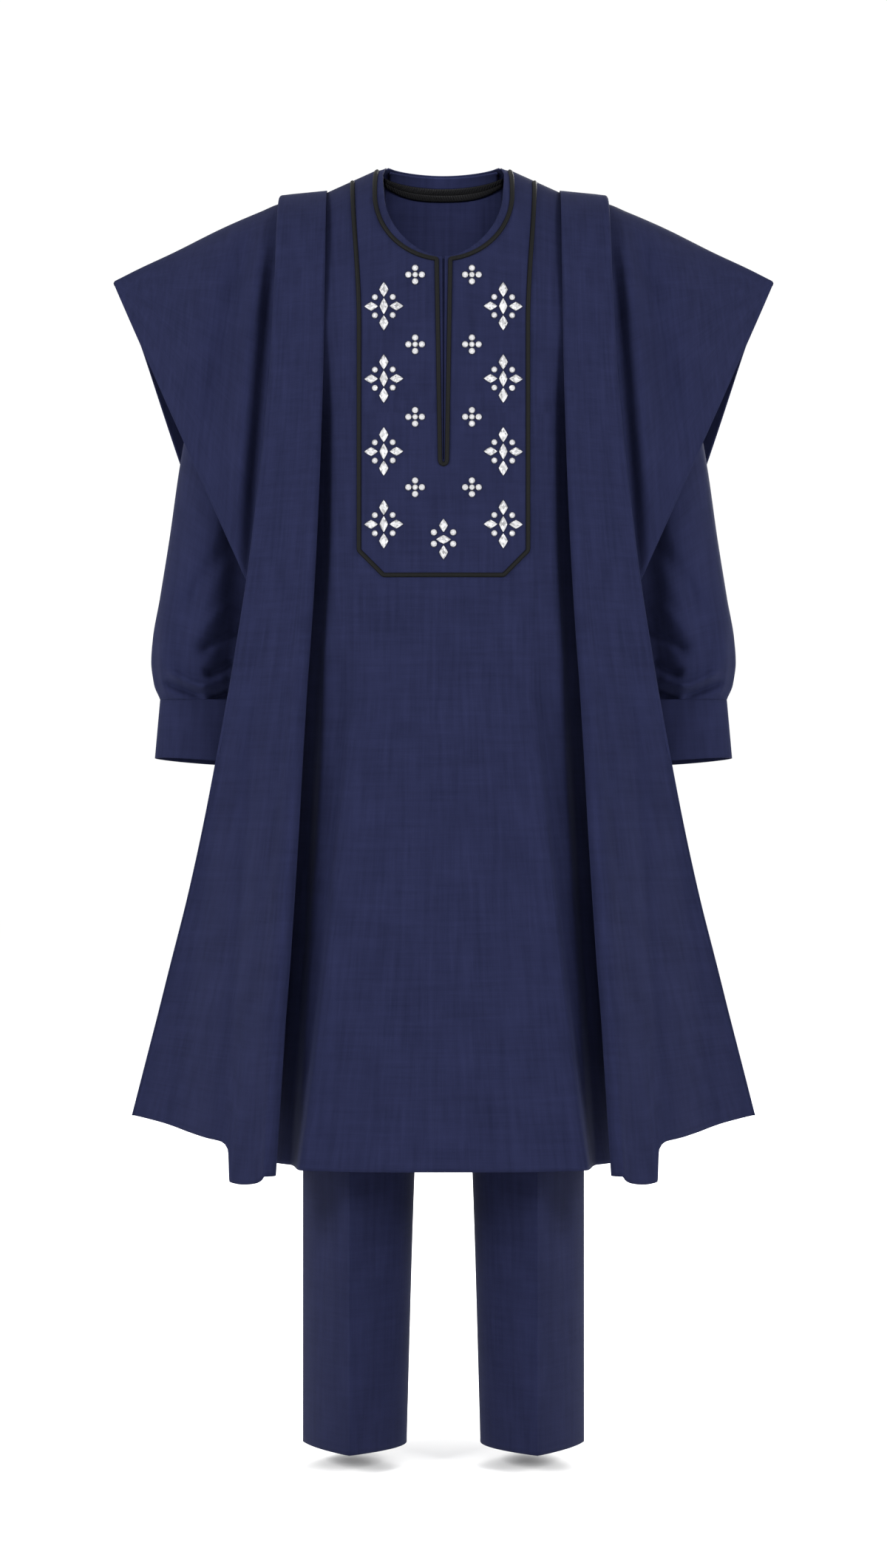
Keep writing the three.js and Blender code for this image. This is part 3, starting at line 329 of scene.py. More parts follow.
def navy_weave():
    """Plain woven navy cotton: uneven threads both ways, a faint cloudiness and a matt sheen."""
    look, nodes, links = new_look("navy_plain_weave", NAVY_SHADER)
    threads = laid_threads(nodes)

    def slubs(across, along, detail):
        stretch = nodes.new("ShaderNodeMapping")
        stretch.inputs["Scale"].default_value = (across, along, 1)
        links.new(threads, stretch.inputs["Vector"])
        noise = nodes.new("ShaderNodeTexNoise")
        noise.inputs["Scale"].default_value = 1
        noise.inputs["Detail"].default_value = detail
        links.new(stretch.outputs["Vector"], noise.inputs["Vector"])
        return noise.outputs["Fac"]

    def blend(a, b, share):
        node = nodes.new("ShaderNodeMix")
        node.data_type = "FLOAT"
        node.inputs["Factor"].default_value = share
        links.new(a, node.inputs["A"])
        links.new(b, node.inputs["B"])
        return node.outputs["Result"]

    def combine(a, b, operation):
        node = nodes.new("ShaderNodeMath")
        node.operation = operation
        links.new(a, node.inputs[0])
        links.new(b, node.inputs[1])
        return node.outputs[0]

    streaks = blend(slubs(*WARP_SLUBS), slubs(*WEFT_SLUBS), 0.5)
    brushed = blend(slubs(*WARP_STREAKS), slubs(*WEFT_STREAKS), 0.38)
    worn = blend(brushed, slubs(*CLOUDS), 0.34)
    tone = blend(streaks, worn, 0.66)
    toned(nodes, links, tone, [(0.37, NAVY_DEEP), (0.63, NAVY_LIGHT)])

    def ribs(direction):
        wave = nodes.new("ShaderNodeTexWave")
        wave.bands_direction = direction
        wave.inputs["Scale"].default_value = math.pi / (10 * THREAD_PITCH)
        wave.inputs["Distortion"].default_value = 0.4
        links.new(threads, wave.inputs["Vector"])
        return wave.outputs["Fac"]

    relief = combine(combine(ribs("X"), ribs("Y"), "MAXIMUM"), streaks, "ADD")
    raised(nodes, links, relief, 0.35, 0.00012)
    return look


navy_cloth = navy_weave()


def hip_place(ring, spot):
    """Half of the hips: round outside, straight along the middle."""
    angle = np.radians(np.interp(spot, range(HIP_END + 1), HIP_ARC))
    along_middle = np.clip((spot - HIP_END) / (LEG_SPOTS - HIP_END), 0, 1)
    outside = spot <= HIP_END
    deep = ring["deep"]
    x = np.where(outside, mix(ring["inner"], ring["outer"], np.sin(angle)), ring["inner"])
    return x, np.where(outside, -deep * np.cos(angle), mix(deep, -deep, along_middle))


def leg_place(ring, spot):
    """A pressed leg: pointed at its two creases and round at both sides."""
    turned = np.where(spot < FRONT_CREASE, spot + LEG_SPOTS, spot)
    first_quarter = LEG_SPOTS + FRONT_CREASE - INNER_SIDE
    quarters = [
        (turned >= INNER_SIDE, (turned - INNER_SIDE) / first_quarter, -1, -1),
        (turned <= OUTER_SIDE, (OUTER_SIDE - turned) / (OUTER_SIDE - FRONT_CREASE), 1, -1),
        (turned <= BACK_CREASE, (turned - OUTER_SIDE) / (BACK_CREASE - OUTER_SIDE), 1, 1),
    ]
    last = (INNER_SIDE - turned) / (INNER_SIDE - BACK_CREASE)
    where = [quarter[0] for quarter in quarters]
    t = np.select(where, [quarter[1] for quarter in quarters], last)
    side = np.select(where, [quarter[2] for quarter in quarters], -1)
    front = np.select(where, [quarter[3] for quarter in quarters], 1)
    reach = np.where(side > 0, ring["outer"] - ring["crease"], ring["crease"] - ring["inner"])
    bend = np.where(side > 0, mix(t * t, t, PRESSED_FLAT), t * t)
    return ring["crease"] + side * reach * (1 - bend), front * ring["deep"] * t


def leg_shape(across, down):
    top, hem = LEG_SECTIONS[0]["z"], LEG_SECTIONS[-1]["z"]
    z = mix(top, hem, down)
    spot = across * LEG_SPOTS % LEG_SPOTS
    ring = read_all(LEG_SECTIONS, z)
    hip_x, hip_y = hip_place(ring, spot)
    leg_x, leg_y = leg_place(ring, spot)
    x = mix(hip_x, leg_x, ring["leg"])
    y = mix(hip_y, leg_y, ring["leg"])
    for fold in LEG_FOLDS:
        press = fold_height(fold, x, fold["x"], z)
        y = y + np.sign(y) * press * np.clip(np.abs(y) / 0.03, 0, 1)
    return x, y, z


LEG_COLUMNS = 96
LEG_ROWS = 130
right_leg = weave(LEG_COLUMNS, LEG_ROWS, 0.50, 1.02, leg_shape, joined=True)
for edge in right_leg.edges:
    middle = (edge.verts[0].co + edge.verts[1].co) / 2
    upright = abs(edge.verts[0].co.z - edge.verts[1].co.z) > 0.004
    pointed = abs(middle.y) > float(read(LEG_SECTIONS, middle.z, "deep")) - 0.0006
    if upright and pointed and middle.z < -0.9:
        edge.smooth = False
shared_wall = [
    face
    for face in right_leg.faces
    for middle in [face.calc_center_median()]
    if middle.x < 0.0016
    and middle.z > CROTCH - CROTCH_SAG * math.sqrt(max(0, 1 - (middle.y / CROTCH_REACH) ** 2))
    and abs(middle.y) < float(read(LEG_SECTIONS, middle.z, "deep")) - 0.003
]
bmesh.ops.delete(right_leg, geom=shared_wall, context="FACES")
sewn_pair(right_leg, "trouser_leg")

# Waistband
# A plain doubled band of the same cloth, sewn on top of both trouser halves.
BAND_TOP = dict(z=-0.394, half=0.146, deep=0.091)
BAND_FOOT = dict(z=-0.432, half=0.148, deep=0.092)


def band_shape(across, down):
    angle = across * 2 * math.pi
    half = mix(BAND_TOP["half"], BAND_FOOT["half"], down)
    deep = mix(BAND_TOP["deep"], BAND_FOOT["deep"], down)
    return half * np.sin(angle), -deep * np.cos(angle), mix(BAND_TOP["z"], BAND_FOOT["z"], down)


band = weave(120, 8, 0.76, 0.038, band_shape, joined=True)
sewn_cloth(band, "waistband")

# Tunic front and back
# Two long panels of navy cotton joined along the shoulders and down the sides. The front is cut
# for a round neck and a slit. It lies lower beside the robe's edges, and its skirt falls into a
# soft fold at each side.
NECK_SIDE = dict(x=0.077, z=-0.005)
SHOULDER_MID = dict(x=0.134, z=-0.0306)
SHOULDER_TIP = dict(x=0.205, z=-0.061)
NECK_RISE = 0.049
ROUND_OVER = 0.170
TUNIC_SECTIONS = measures(
    "z front back half square",
    (0.050, 0.104, 0.104, 0.214, 2.6),
    (-0.061, 0.110, 0.106, 0.213, 2.6),
    (-0.176, 0.116, 0.110, 0.212, 2.6),
    (-0.240, 0.117, 0.111, 0.203, 2.6),
    (-0.292, 0.118, 0.111, 0.186, 2.6),
    (-0.400, 0.119, 0.109, 0.183, 2.7),
    (-0.640, 0.124, 0.106, 0.183, 2.8),
    (-0.800, 0.131, 0.112, 0.188, 3.0),
    (-0.960, 0.140, 0.124, 0.193, 3.2),
    (-1.140, 0.150, 0.136, 0.198, 3.4),
)
ARMHOLE = measures(
    "z x",
    (-0.061, 0.205), (-0.100, 0.193), (-0.176, 0.176), (-0.240, 0.175), (-0.275, 0.1805),
    (-0.292, 0.186),
)
ARMPIT = -0.292
TUNIC_HEM = -1.124
SKIRT_FOLD = dict(top=-0.560, crest=0.0075, width=0.013, behind=0.009)
SKIRT_HOLLOW = dict(depth=0.026, turn=0.009, early=0.004)
SKIRT_EDGE = measures(
    "z x",
    (-0.600, 0.1030), (-0.746, 0.1166), (-0.893, 0.1320), (-0.997, 0.1436),
    (-1.074, 0.1542), (-1.126, 0.1620),
)
ROBE_SHADE = dict(depth=0.024, reach=0.011, top=-0.160, full=-0.460)
UNDER_ROBE = measures(
    "z x",
    (-0.160, 0.1300), (-0.400, 0.1310), (-0.600, 0.1410), (-0.746, 0.1480),
    (-0.960, 0.1610), (-1.126, 0.1705),
)
NECK = dict(half=0.0662, drop=0.0768, round=1.8, centre=-0.042)
NECK_CORD = dict(half=0.0764, drop=0.0797, round=2.0)
NECK_EDGE = measures(
    "z x",
    (-0.042, 0.0662), (-0.024, 0.0678), (-0.014, 0.0682), (-0.006, 0.0662),
    (-0.001, 0.0641), (0.007, 0.0641),
)
BACK_NECK = dict(middle=0.0032, fall=0.0031, half=0.0627)
SLIT = dict(bottom=-0.343, top_half=0.0013, bottom_half=0.0007)
TUNIC_FOLDS = measures(
    "x lean width depth top bottom",
    (-0.060, 0.10, 0.016, 0.0016, -0.62, -1.12),
    (-0.020, 0.02, 0.014, -0.0014, -0.70, -1.13),
    (0.028, -0.04, 0.017, 0.0015, -0.56, -1.10),
    (0.075, -0.12, 0.015, -0.0016, -0.66, -1.13),
    (-0.104, 0.08, 0.010, -0.0022, -0.44, -0.80),
    (0.106, -0.08, 0.010, -0.0022, -0.46, -0.84),
)
TUNIC_COLUMNS = 150
TUNIC_ROWS = 240
COLUMNS_TO_FOLD = [0, 0.50, 0.62, 0.74, 1]
SHARE_ABOVE_ARMPIT = 0.30


def shoulder_line(x):
    side = np.abs(x)
    hollow = NECK_SIDE["z"] + NECK_RISE * (1 - np.clip(side / NECK_SIDE["x"], 0, 1) ** 2) ** 2.25
    places = [NECK_SIDE["x"], SHOULDER_MID["x"], SHOULDER_TIP["x"]]
    slope = np.interp(side, places, [NECK_SIDE["z"], SHOULDER_MID["z"], SHOULDER_TIP["z"]])
    beyond = np.clip(side - SHOULDER_TIP["x"], 0, None) * 0.43
    return np.where(side < NECK_SIDE["x"], hollow, slope - beyond)


def round_over(drop, height):
    return np.sqrt(1 - (1 - np.clip(drop / height, 0, 1)) ** 2)


def tunic_depth(x, z, side):
    """Depth of the tunic at a place, front or back, measured from its side seams."""
    half, square, deep = (read(TUNIC_SECTIONS, z, column) for column in ("half", "square", side))
    across = (1 - np.clip(np.abs(x) / half, 0, 1) ** square) ** (1 / square)
    fold = 0
    if side == "front":
        t = np.clip((SKIRT_FOLD["top"] - z) / (SKIRT_FOLD["top"] - TUNIC_HEM), 0, 1)
        past = np.abs(x) - read(SKIRT_EDGE, z, "x")
        off_crest = (past + SKIRT_FOLD["behind"]) / SKIRT_FOLD["width"]
        crest = SKIRT_FOLD["crest"] * ease(t) * bell(off_crest)
        turned = ease((past + SKIRT_HOLLOW["early"]) / SKIRT_HOLLOW["turn"])
        hollow = SKIRT_HOLLOW["depth"] * t**0.6 * turned**0.8
        under_robe = (np.abs(x) - read(UNDER_ROBE, z, "x")) / ROBE_SHADE["reach"] + 1
        lower = ease((ROBE_SHADE["top"] - z) / (ROBE_SHADE["top"] - ROBE_SHADE["full"]))
        hollow = hollow + ROBE_SHADE["depth"] * ease(under_robe) * lower
        fold = (crest - hollow) * np.clip(across * 3, 0, 1)
    for soft in TUNIC_FOLDS:
        line = soft["x"] + soft["lean"] * (z - soft["top"])
        fold = fold + fold_height(soft, x, line, z, 0.45)
    return (deep + fold) * across * round_over(shoulder_line(x) - z, ROUND_OVER)


def tunic_place(x, z, side, out=0.0):
    """A point of the tunic's wall, or one moved out from it."""
    sign = -1 if side == "front" else 1
    step = 0.001
    depth = tunic_depth(x, z, side)
    across = (tunic_depth(x + step, z, side) - tunic_depth(x - step, z, side)) / (2 * step)
    up = (tunic_depth(x, z + step, side) - tunic_depth(x, z - step, side)) / (2 * step)
    steep = np.sqrt(1 + across**2 + up**2)
    y = sign * (depth + SEAM / 2 + out / steep)
    return x - out * across / steep, y, z - out * up / steep


def armhole_edge(z):
    return np.where(z > ARMPIT, read(ARMHOLE, z, "x"), read(TUNIC_SECTIONS, z, "half"))


def back_neck(x):
    return BACK_NECK["middle"] - BACK_NECK["fall"] * (np.abs(x) / BACK_NECK["half"]) ** 2.5


def tunic_panel(side):
    """Places across and down one panel, from the shoulder line to the hem."""

    def shape(across, down):
        above = np.clip(down / SHARE_ABOVE_ARMPIT, 0, 1)
        middle = (SHOULDER_TIP["z"] + ARMPIT) / 2
        level = middle + (SHOULDER_TIP["z"] - middle) * np.cos(math.pi * above)
        level = mix(level, TUNIC_HEM, rest_of(down, SHARE_ABOVE_ARMPIT))
        edge = armhole_edge(level)
        u = np.abs(2 * across - 1)
        fold = read(SKIRT_EDGE, level, "x")
        stops = [0 * fold, fold - 0.011, fold, fold + 0.012, edge]
        share = np.interp(u, COLUMNS_TO_FOLD, range(len(stops)))
        x = sum(stop * np.clip(1 - np.abs(share - k), 0, 1) for k, stop in enumerate(stops))
        x = x * np.sign(2 * across - 1)
        top = shoulder_line(x)
        if side == "back":
            top = np.minimum(top, back_neck(x))
        slope = 1 - ease((SHOULDER_TIP["z"] - level) / 0.150)
        z = level + (top - shoulder_line(edge)) * slope
        return tunic_place(x, z, side)

    return shape


def cut_line(cloth, start, end, near):
    """Cuts the cloth along a straight line seen from the front, within the faces that are near."""
    faces = [face for face in cloth.faces if near(*face.calc_center_median())]
    edges = {edge for face in faces for edge in face.edges}
    verts = {vert for face in faces for vert in face.verts}
    along = Vector((end[0] - start[0], 0, end[1] - start[1]))
    across = along.cross(Vector((0, 1, 0))).normalized()
    near_parts = [*faces, *edges, *verts]
    through = (start[0], 0, start[1])
    bmesh.ops.bisect_plane(cloth, geom=near_parts, dist=1e-6, plane_co=through, plane_no=across)


def neck_radius(angle, neck=NECK):
    """Distance from the neck's middle to its lower edge, which is drawn down towards the slit."""
    across, down = np.abs(np.cos(angle)) / neck["half"], np.abs(np.sin(angle)) / neck["drop"]
    return float((across ** neck["round"] + down ** neck["round"]) ** (-1 / neck["round"]))


def slit_half(z):
    top = NECK["centre"] - NECK["drop"]
    return mix(SLIT["bottom_half"], SLIT["top_half"], (z - SLIT["bottom"]) / (top - SLIT["bottom"]))


def cut_neck_and_slit(cloth):
    """Cuts the round neck and the slit out of the front."""
    centre = NECK["centre"]
    wedges = 40

    def rim(angle):
        return neck_radius(angle) * math.cos(angle), centre + neck_radius(angle) * math.sin(angle)

    for k in range(wedges):
        low, high = (-math.pi * (k + n) / wedges for n in (0, 1))

        def in_wedge(x, y, z):
            angle = math.atan2(z - centre, x)
            if not high - 0.03 <= angle < low + 0.03:
                return False
            return abs(math.hypot(x, z - centre) - neck_radius(angle)) < 0.007

        cut_line(cloth, rim(low), rim(high), in_wedge)
    for side in (-1, 1):
        for lower, upper in zip(NECK_EDGE, NECK_EDGE[1:]):
            def beside_neck(x, y, z):
                within = lower["z"] - 0.001 <= z <= upper["z"] + 0.001
                return within and abs(x * side - (lower["x"] + upper["x"]) / 2) < 0.008

            start, end = ((side * row["x"], row["z"]) for row in (lower, upper))
            cut_line(cloth, start, end, beside_neck)

        def beside_slit(x, y, z):
            return SLIT["bottom"] - 0.002 < z < centre - 0.060 and 0 < x * side < 0.012

        start = (side * SLIT["bottom_half"], SLIT["bottom"])
        end = (side * SLIT["top_half"], centre - NECK["drop"])
        cut_line(cloth, start, end, beside_slit)

    def at_slit_foot(x, y, z):
        return abs(x) < 0.006 and abs(z - SLIT["bottom"]) < 0.006

    cut_line(cloth, (-0.01, SLIT["bottom"]), (0.01, SLIT["bottom"]), at_slit_foot)
    edge = [[row[column] for row in NECK_EDGE] for column in ("z", "x")]
    waste = []
    for face in cloth.faces:
        x, _, z = face.calc_center_median()
        radius = neck_radius(math.atan2(z - centre, x))
        in_neck = z < centre and math.hypot(x, z - centre) < radius
        above_neck = z >= centre and abs(x) < np.interp(z, *edge)
        in_slit = SLIT["bottom"] < z < centre and abs(x) < slit_half(z)
        if in_neck or above_neck or in_slit:
            waste.append(face)
    bmesh.ops.delete(cloth, geom=waste, context="FACES")
    bmesh.ops.remove_doubles(cloth, verts=cloth.verts, dist=0.0002)


tunic_front = weave(TUNIC_COLUMNS, TUNIC_ROWS, 0.50, 1.14, tunic_panel("front"))
cut_neck_and_slit(tunic_front)
sewn_cloth(tunic_front, "tunic_front")
tunic_back = weave(TUNIC_COLUMNS * 3 // 4, TUNIC_ROWS * 3 // 4, 0.50, 1.14, tunic_panel("back"))
sewn_cloth(tunic_back, "tunic_back")

# Strip behind the slit
# A narrow doubled strip of the same cloth, sewn behind the slit so that it closes it.
LAP = dict(half=0.016, top=-0.1205, bottom=-0.362)


def lap_shape(across, down):
    x = (2 * across - 1) * LAP["half"]
    z = mix(LAP["top"], LAP["bottom"], down)
    return tunic_place(x, z, "front", -(CLOTH + SEAM))


lap = weave(14, 60, 0.032, 0.242, lap_shape)
sewn_cloth(lap, "slit_underlap")

# Facing and braid inside the back neck
# A facing of the same cloth turns the back neck's edge, and a black plaited braid covers its
# lower edge.
BEHIND_BACK = -(CLOTH + 2 * SEAM)
FACING_HALF = 0.063
BRAID = dict(half=0.068, upper=-0.0095, upper_rise=0.0030, lower=-0.0228, lower_rise=0.0100)
PLAITS = dict(lanes=2, strands=46, height=0.0013)
BLACK = (0.0018, 0.0018, 0.0022, 1)
# The lighter black is a painted highlight on the crowns of the wound thread.
BLACK_PAINTED_HIGHLIGHT = (0.0055, 0.0055, 0.0060, 1)
BLACK_SHADER = {"Roughness": 0.55, "Specular IOR Level": 0.06, "Sheen Weight": 0.01}


def black_cord(name, pitch):
    """Black satin thread, wound close, with painted shade between the turns and a painted highlight
    on their crowns.
    """
    look, nodes, links = new_look(name, BLACK_SHADER)
    slant = nodes.new("ShaderNodeMapping")
    slant.inputs["Rotation"].default_value = (0, 0, math.radians(38))
    links.new(laid_threads(nodes), slant.inputs["Vector"])
    wave = nodes.new("ShaderNodeTexWave")
    wave.inputs["Scale"].default_value = math.pi / (10 * pitch)
    wave.inputs["Distortion"].default_value = 0.8
    links.new(slant.outputs["Vector"], wave.inputs["Vector"])
    # Painted shade in the grooves between the turns, painted highlight on their crowns.
    toned(nodes, links, wave.outputs["Fac"], [(0, BLACK), (1, BLACK_PAINTED_HIGHLIGHT)])
    raised(nodes, links, wave.outputs["Fac"], 0.5, 0.0002)
    return look


# The braid wears this cord's finish, its painted shade and highlight included.
black_trim = black_cord("black_satin_cord", 0.0011)


def braid_top(x):
    return BRAID["upper"] + BRAID["upper_rise"] * (x / BRAID["half"]) ** 6


def facing_shape(across, down):
    """A band inside the back neck, from its edge down to the braid."""
    x = mix(-FACING_HALF, FACING_HALF, across)
    top = np.minimum(back_neck(x), shoulder_line(x)) - 0.0012
    return tunic_place(x, mix(top, braid_top(x), down), "back", BEHIND_BACK)


facing = weave(60, 10, 0.13, 0.014, facing_shape)
sewn_cloth(facing, "back_neck_facing")


def plaits(across, down):
    """Two rows of plaited strands with a groove between them."""
    lane = down * PLAITS["lanes"]
    slant = np.where(np.floor(lane) % 2 == 0, 1, -1)
    strand = np.cos(2 * math.pi * (across * PLAITS["strands"] + slant * lane))
    crown = np.sin(math.pi * (lane % 1))
    return PLAITS["height"] * np.sqrt(crown) * (0.66 + 0.34 * strand)


def braid_shape(across, down):
    x = mix(-BRAID["half"], BRAID["half"], across)
    lower = BRAID["lower"] + BRAID["lower_rise"] * (x / BRAID["half"]) ** 4
    out = BEHIND_BACK - plaits(across, down)
    return tunic_place(x, mix(braid_top(x), lower, down), "back", out)


braid = weave(372, 20, 0.15, 0.013, braid_shape)
braid_piece = new_piece(braid, "back_neck_braid_plait", black_trim)
give_wall(braid_piece)
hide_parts("back_neck_braid")

# Piping of the neck, the slit and the bib
# Black corded piping, sewn flat on the front: one length round the neck and down both sides of
# the slit, and one round the bib from shoulder to shoulder.
PIPING = dict(width=0.0050, height=0.0022)
SLIT_CORD = dict(top_half=0.0075, foot_half=0.0038, foot=-0.3448)
CORD_FOOT = [(0, 0.0036), (0.7, 0.0026), (1, 0)]
CORD_TOP = [(0.0766, -0.030), (0.0762, -0.018), (0.0752, -0.010), (0.0744, -0.0086)]
BIB = dict(
    shoulder=-0.0216, top=0.1025, drawn_in=0.190, side=0.093,
    bottom=-0.470, chamfer=0.027, chamfer_rise=0.0275,
)
PIPING_STEP = 0.0012
PIPING_SIDES = 16
PIPING_GIRTH = 0.012
# A painted highlight along the piping's crown and painted shade at its two seams.
CORD_CROWN_HIGHLIGHT = (0.0040, 0.0042, 0.0041, 1)
CORD_SEAM_SHADE = (0.0010, 0.0010, 0.0012, 1)


def folded_binding():
    """Black cotton binding folded over a cord, with a painted highlight along its crown and painted
    shade at both seams.
    """
    look = black_cord("black_cotton_binding", 0.0009)
    nodes, links = look.node_tree.nodes, look.node_tree.links
    across = nodes.new("ShaderNodeSeparateXYZ")
    links.new(laid_threads(nodes), across.inputs["Vector"])
    girth = nodes.new("ShaderNodeMath")
    girth.operation = "DIVIDE"
    girth.inputs[1].default_value = PIPING_GIRTH
    links.new(across.outputs["X"], girth.inputs[0])
    # Across the cord: painted shade at the seams, a painted highlight on the crown.
    crown = [(0.06, CORD_SEAM_SHADE), (0.15, CORD_CROWN_HIGHLIGHT), (0.35, CORD_CROWN_HIGHLIGHT), (0.44, CORD_SEAM_SHADE)]
    toned(nodes, links, girth.outputs["Value"], crown)
    return look


black_binding = folded_binding()


def measured(path):
    """A path as evenly spaced points, and its length."""
    path = np.array(path)
    reach = np.concatenate([[0], np.cumsum(np.hypot(*np.diff(path, axis=0).T))])
    steps = int(reach[-1] / PIPING_STEP)
    at = np.linspace(0, reach[-1], steps + 1)
    return np.interp(at, reach, path[:, 0]), np.interp(at, reach, path[:, 1]), reach[-1]


def softened(values):
    for _ in range(2):
        between = (values[:-2] + 2 * values[1:-1] + values[2:]) / 4
        values = np.concatenate([values[:1], between, values[-1:]])
    return values


def piping(path, name, node):
    x, z, length = measured(path)
    x, z = softened(x), softened(z)
    steps = len(x) - 1
    dx, dz = np.gradient(x), np.gradient(z)
    size = np.hypot(dx, dz)
    nx, nz = -dz / size, dx / size

    def shape(across, down):
        k = np.rint(down * steps).astype(int)
        angle = across * 2 * math.pi
        turn = 1 + 0.05 * np.cos(2 * math.pi * down * length / 0.0032 + angle)
        side = np.cos(angle) * PIPING["width"] / 2
        lift = np.where(np.sin(angle) > 0, np.sin(angle) * PIPING["height"] * turn, 0)
        base = CLOTH / 2 + SEAM
        return tunic_place(x[k] + nx[k] * side, z[k] + nz[k] * side, "front", base + lift)

    cord = weave(PIPING_SIDES, steps, PIPING_GIRTH, length, shape, joined=True)
    bmesh.ops.holes_fill(cord, edges=[edge for edge in cord.edges if edge.is_boundary], sides=0)
    bmesh.ops.recalc_face_normals(cord, faces=cord.faces)
    piece = new_piece(cord, name, black_binding)
    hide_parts(node)


def neck_side():
    """One side of the neck, from the top of the slit to the level of the neck's centre."""
    corner_drop = NECK_CORD["drop"] * (1 - (SLIT_CORD["top_half"] / NECK_CORD["half"]) ** 2) ** 0.5
    side = [(SLIT_CORD["top_half"], NECK["centre"] - corner_drop)]
    for angle in np.linspace(-math.pi / 2, 0, 48):
        radius = neck_radius(angle, NECK_CORD)
        if radius * math.cos(angle) > SLIT_CORD["top_half"] + 0.001:
            side.append((radius * math.cos(angle), NECK["centre"] + radius * math.sin(angle)))
    return side


foot_cord = [(SLIT_CORD["foot_half"] * out, SLIT_CORD["foot"] - drop) for out, drop in CORD_FOOT]
half_cord = foot_cord + neck_side() + CORD_TOP
neck_path = [(-x, z) for x, z in reversed(half_cord)] + half_cord[1:]
piping(neck_path, "neck_and_slit_piping_cord", "neck_and_slit_piping")

bib_side = []
for k in range(31):
    z = mix(BIB["shoulder"], BIB["bottom"] + BIB["chamfer_rise"], k / 30)
    bib_side.append((float(mix(BIB["top"], BIB["side"], ease(-z / BIB["drawn_in"]))), z))
bib_side.append((BIB["side"] - BIB["chamfer"], BIB["bottom"]))
bib_path = [(-x, z) for x, z in bib_side] + bib_side[::-1]
piping(bib_path, "bib_piping_cord", "bib_piping")

# Crystals
# Clear foil-backed glass stones in dark cups, glued on the bib in small and large crosses, with
# one more cross at the foot of the slit.
FRONT_FACE = CLOTH / 2
LOZENGE_HEIGHT = 0.0030
ROUND_HEIGHT = 0.0028
CUP_RIM = 0.0006
CRYSTAL_SHADER = {
    "Roughness": 0.06,
    "Specular IOR Level": 0.75,
    "Coat Weight": 0.6,
    "Coat Roughness": 0.03,
}
CUP_DARK, CUP_LIGHT = (0.020, 0.020, 0.026, 1), (0.075, 0.075, 0.090, 1)
# Darkest grey and spread of the facets' painted reflections, for the rounds and the lozenges.
ROUND_REFLECTION_TONES, LOZENGE_REFLECTION_TONES = (0.25, 0.13), (0.11, 0.33)
GIRDLE, CROWN = 0.0008, 0.0019
LARGE_CROSSES = dict(x=0.0656, z=(-0.1736, -0.2536, -0.3338, -0.414))
SMALL_CROSSES = dict(x=0.0312, z=(-0.139, -0.216, -0.296, -0.3735))
FOOT_CROSS_Z = -0.431
LARGE_ROUND, SMALL_ROUND, SMALL_MIDDLE = (0.0061, 0.0061), (0.0066, 0.0066), (0.0058, 0.0058)
LARGE_MIDDLE, LARGE_UPRIGHT, LARGE_ARM = (0.0088, 0.0175), (0.0097, 0.0161), (0.0145, 0.0093)
FOOT_MIDDLE, FOOT_ABOVE, FOOT_BELOW = (0.0159, 0.0093), (0.0093, 0.0142), (0.0093, 0.0151)


def crystal_glass():
    look, nodes, links = new_look("foiled_crystal", CRYSTAL_SHADER)
    # The stone's base colour is its facets' painted reflection.
    facet = nodes.new("ShaderNodeVertexColor")
    facet.layer_name = "facet"
    links.new(facet.outputs["Color"], nodes["Principled BSDF"].inputs["Base Color"])
    return look


def dark_cup():
    look, nodes, links = new_look("dark_metal_cup", {"Metallic": 0.8, "Roughness": 0.35})
    noise = nodes.new("ShaderNodeTexNoise")
    noise.inputs["Scale"].default_value = 900
    place = nodes.new("ShaderNodeTexCoord")
    links.new(place.outputs["Object"], noise.inputs["Vector"])
    toned(nodes, links, noise.outputs["Fac"], [(0, CUP_DARK), (1, CUP_LIGHT)])
    return look


def stone_outline(kind, width, height, sides):
    """Distance of the girdle from the stone's middle, by its angle."""
    angles = 2 * math.pi * np.arange(sides) / sides
    if kind == "round":
        return width / 2 * np.cos(angles), height / 2 * np.sin(angles)
    c, s = np.cos(angles), np.sin(angles)
    reach = 1 / (np.abs(c) ** 1.12 + np.abs(s) ** 1.12) ** (1 / 1.12)
    return width / 2 * c * reach, height / 2 * s * reach


def turn_of(across, up):
    """Angle of a direction, from 0 to a whole turn."""
    return math.atan2(up, across) % (2 * math.pi)


def set_stone(target, kind, x, z, width, height, rings):
    """A stone or its cup on the front: a disc drawn up through rings of scale and height."""
    sides = 12 if kind == "lozenge" else 10
    made = bmesh.ops.create_circle(target, cap_ends=True, segments=sides, radius=0.5)
    for face in made["verts"][0].link_faces:
        face[target.faces.layers.int["round"]] = int(kind == "round")
    outline = stone_outline(kind, width, height, sides)
    verts = sorted(made["verts"], key=lambda vert: turn_of(vert.co.x, vert.co.y))
    cap = verts[0].link_faces[0]
    at = np.array([x]), np.array([z])

    def place(ring_verts, scale, lift):
        px = x + outline[0] * scale
        pz = z + outline[1] * scale
        worn = np.stack(tunic_place(px, pz, "front", 0.0), axis=1)
        under, above = (np.stack(tunic_place(*at, "front", out))[:, 0] for out in (0.0, 1.0))
        for vert, point in zip(ring_verts, worn + (above - under) * (FRONT_FACE + lift)):
            vert.co = point

    place(verts, *rings[0])
    for scale, lift in rings[1:]:
        grown = bmesh.ops.extrude_discrete_faces(target, faces=[cap])["faces"]
        cap = grown[0]
        ring = sorted(cap.verts, key=lambda vert: turn_of(vert.co.x - x, vert.co.z - z))
        place(ring, scale, lift)


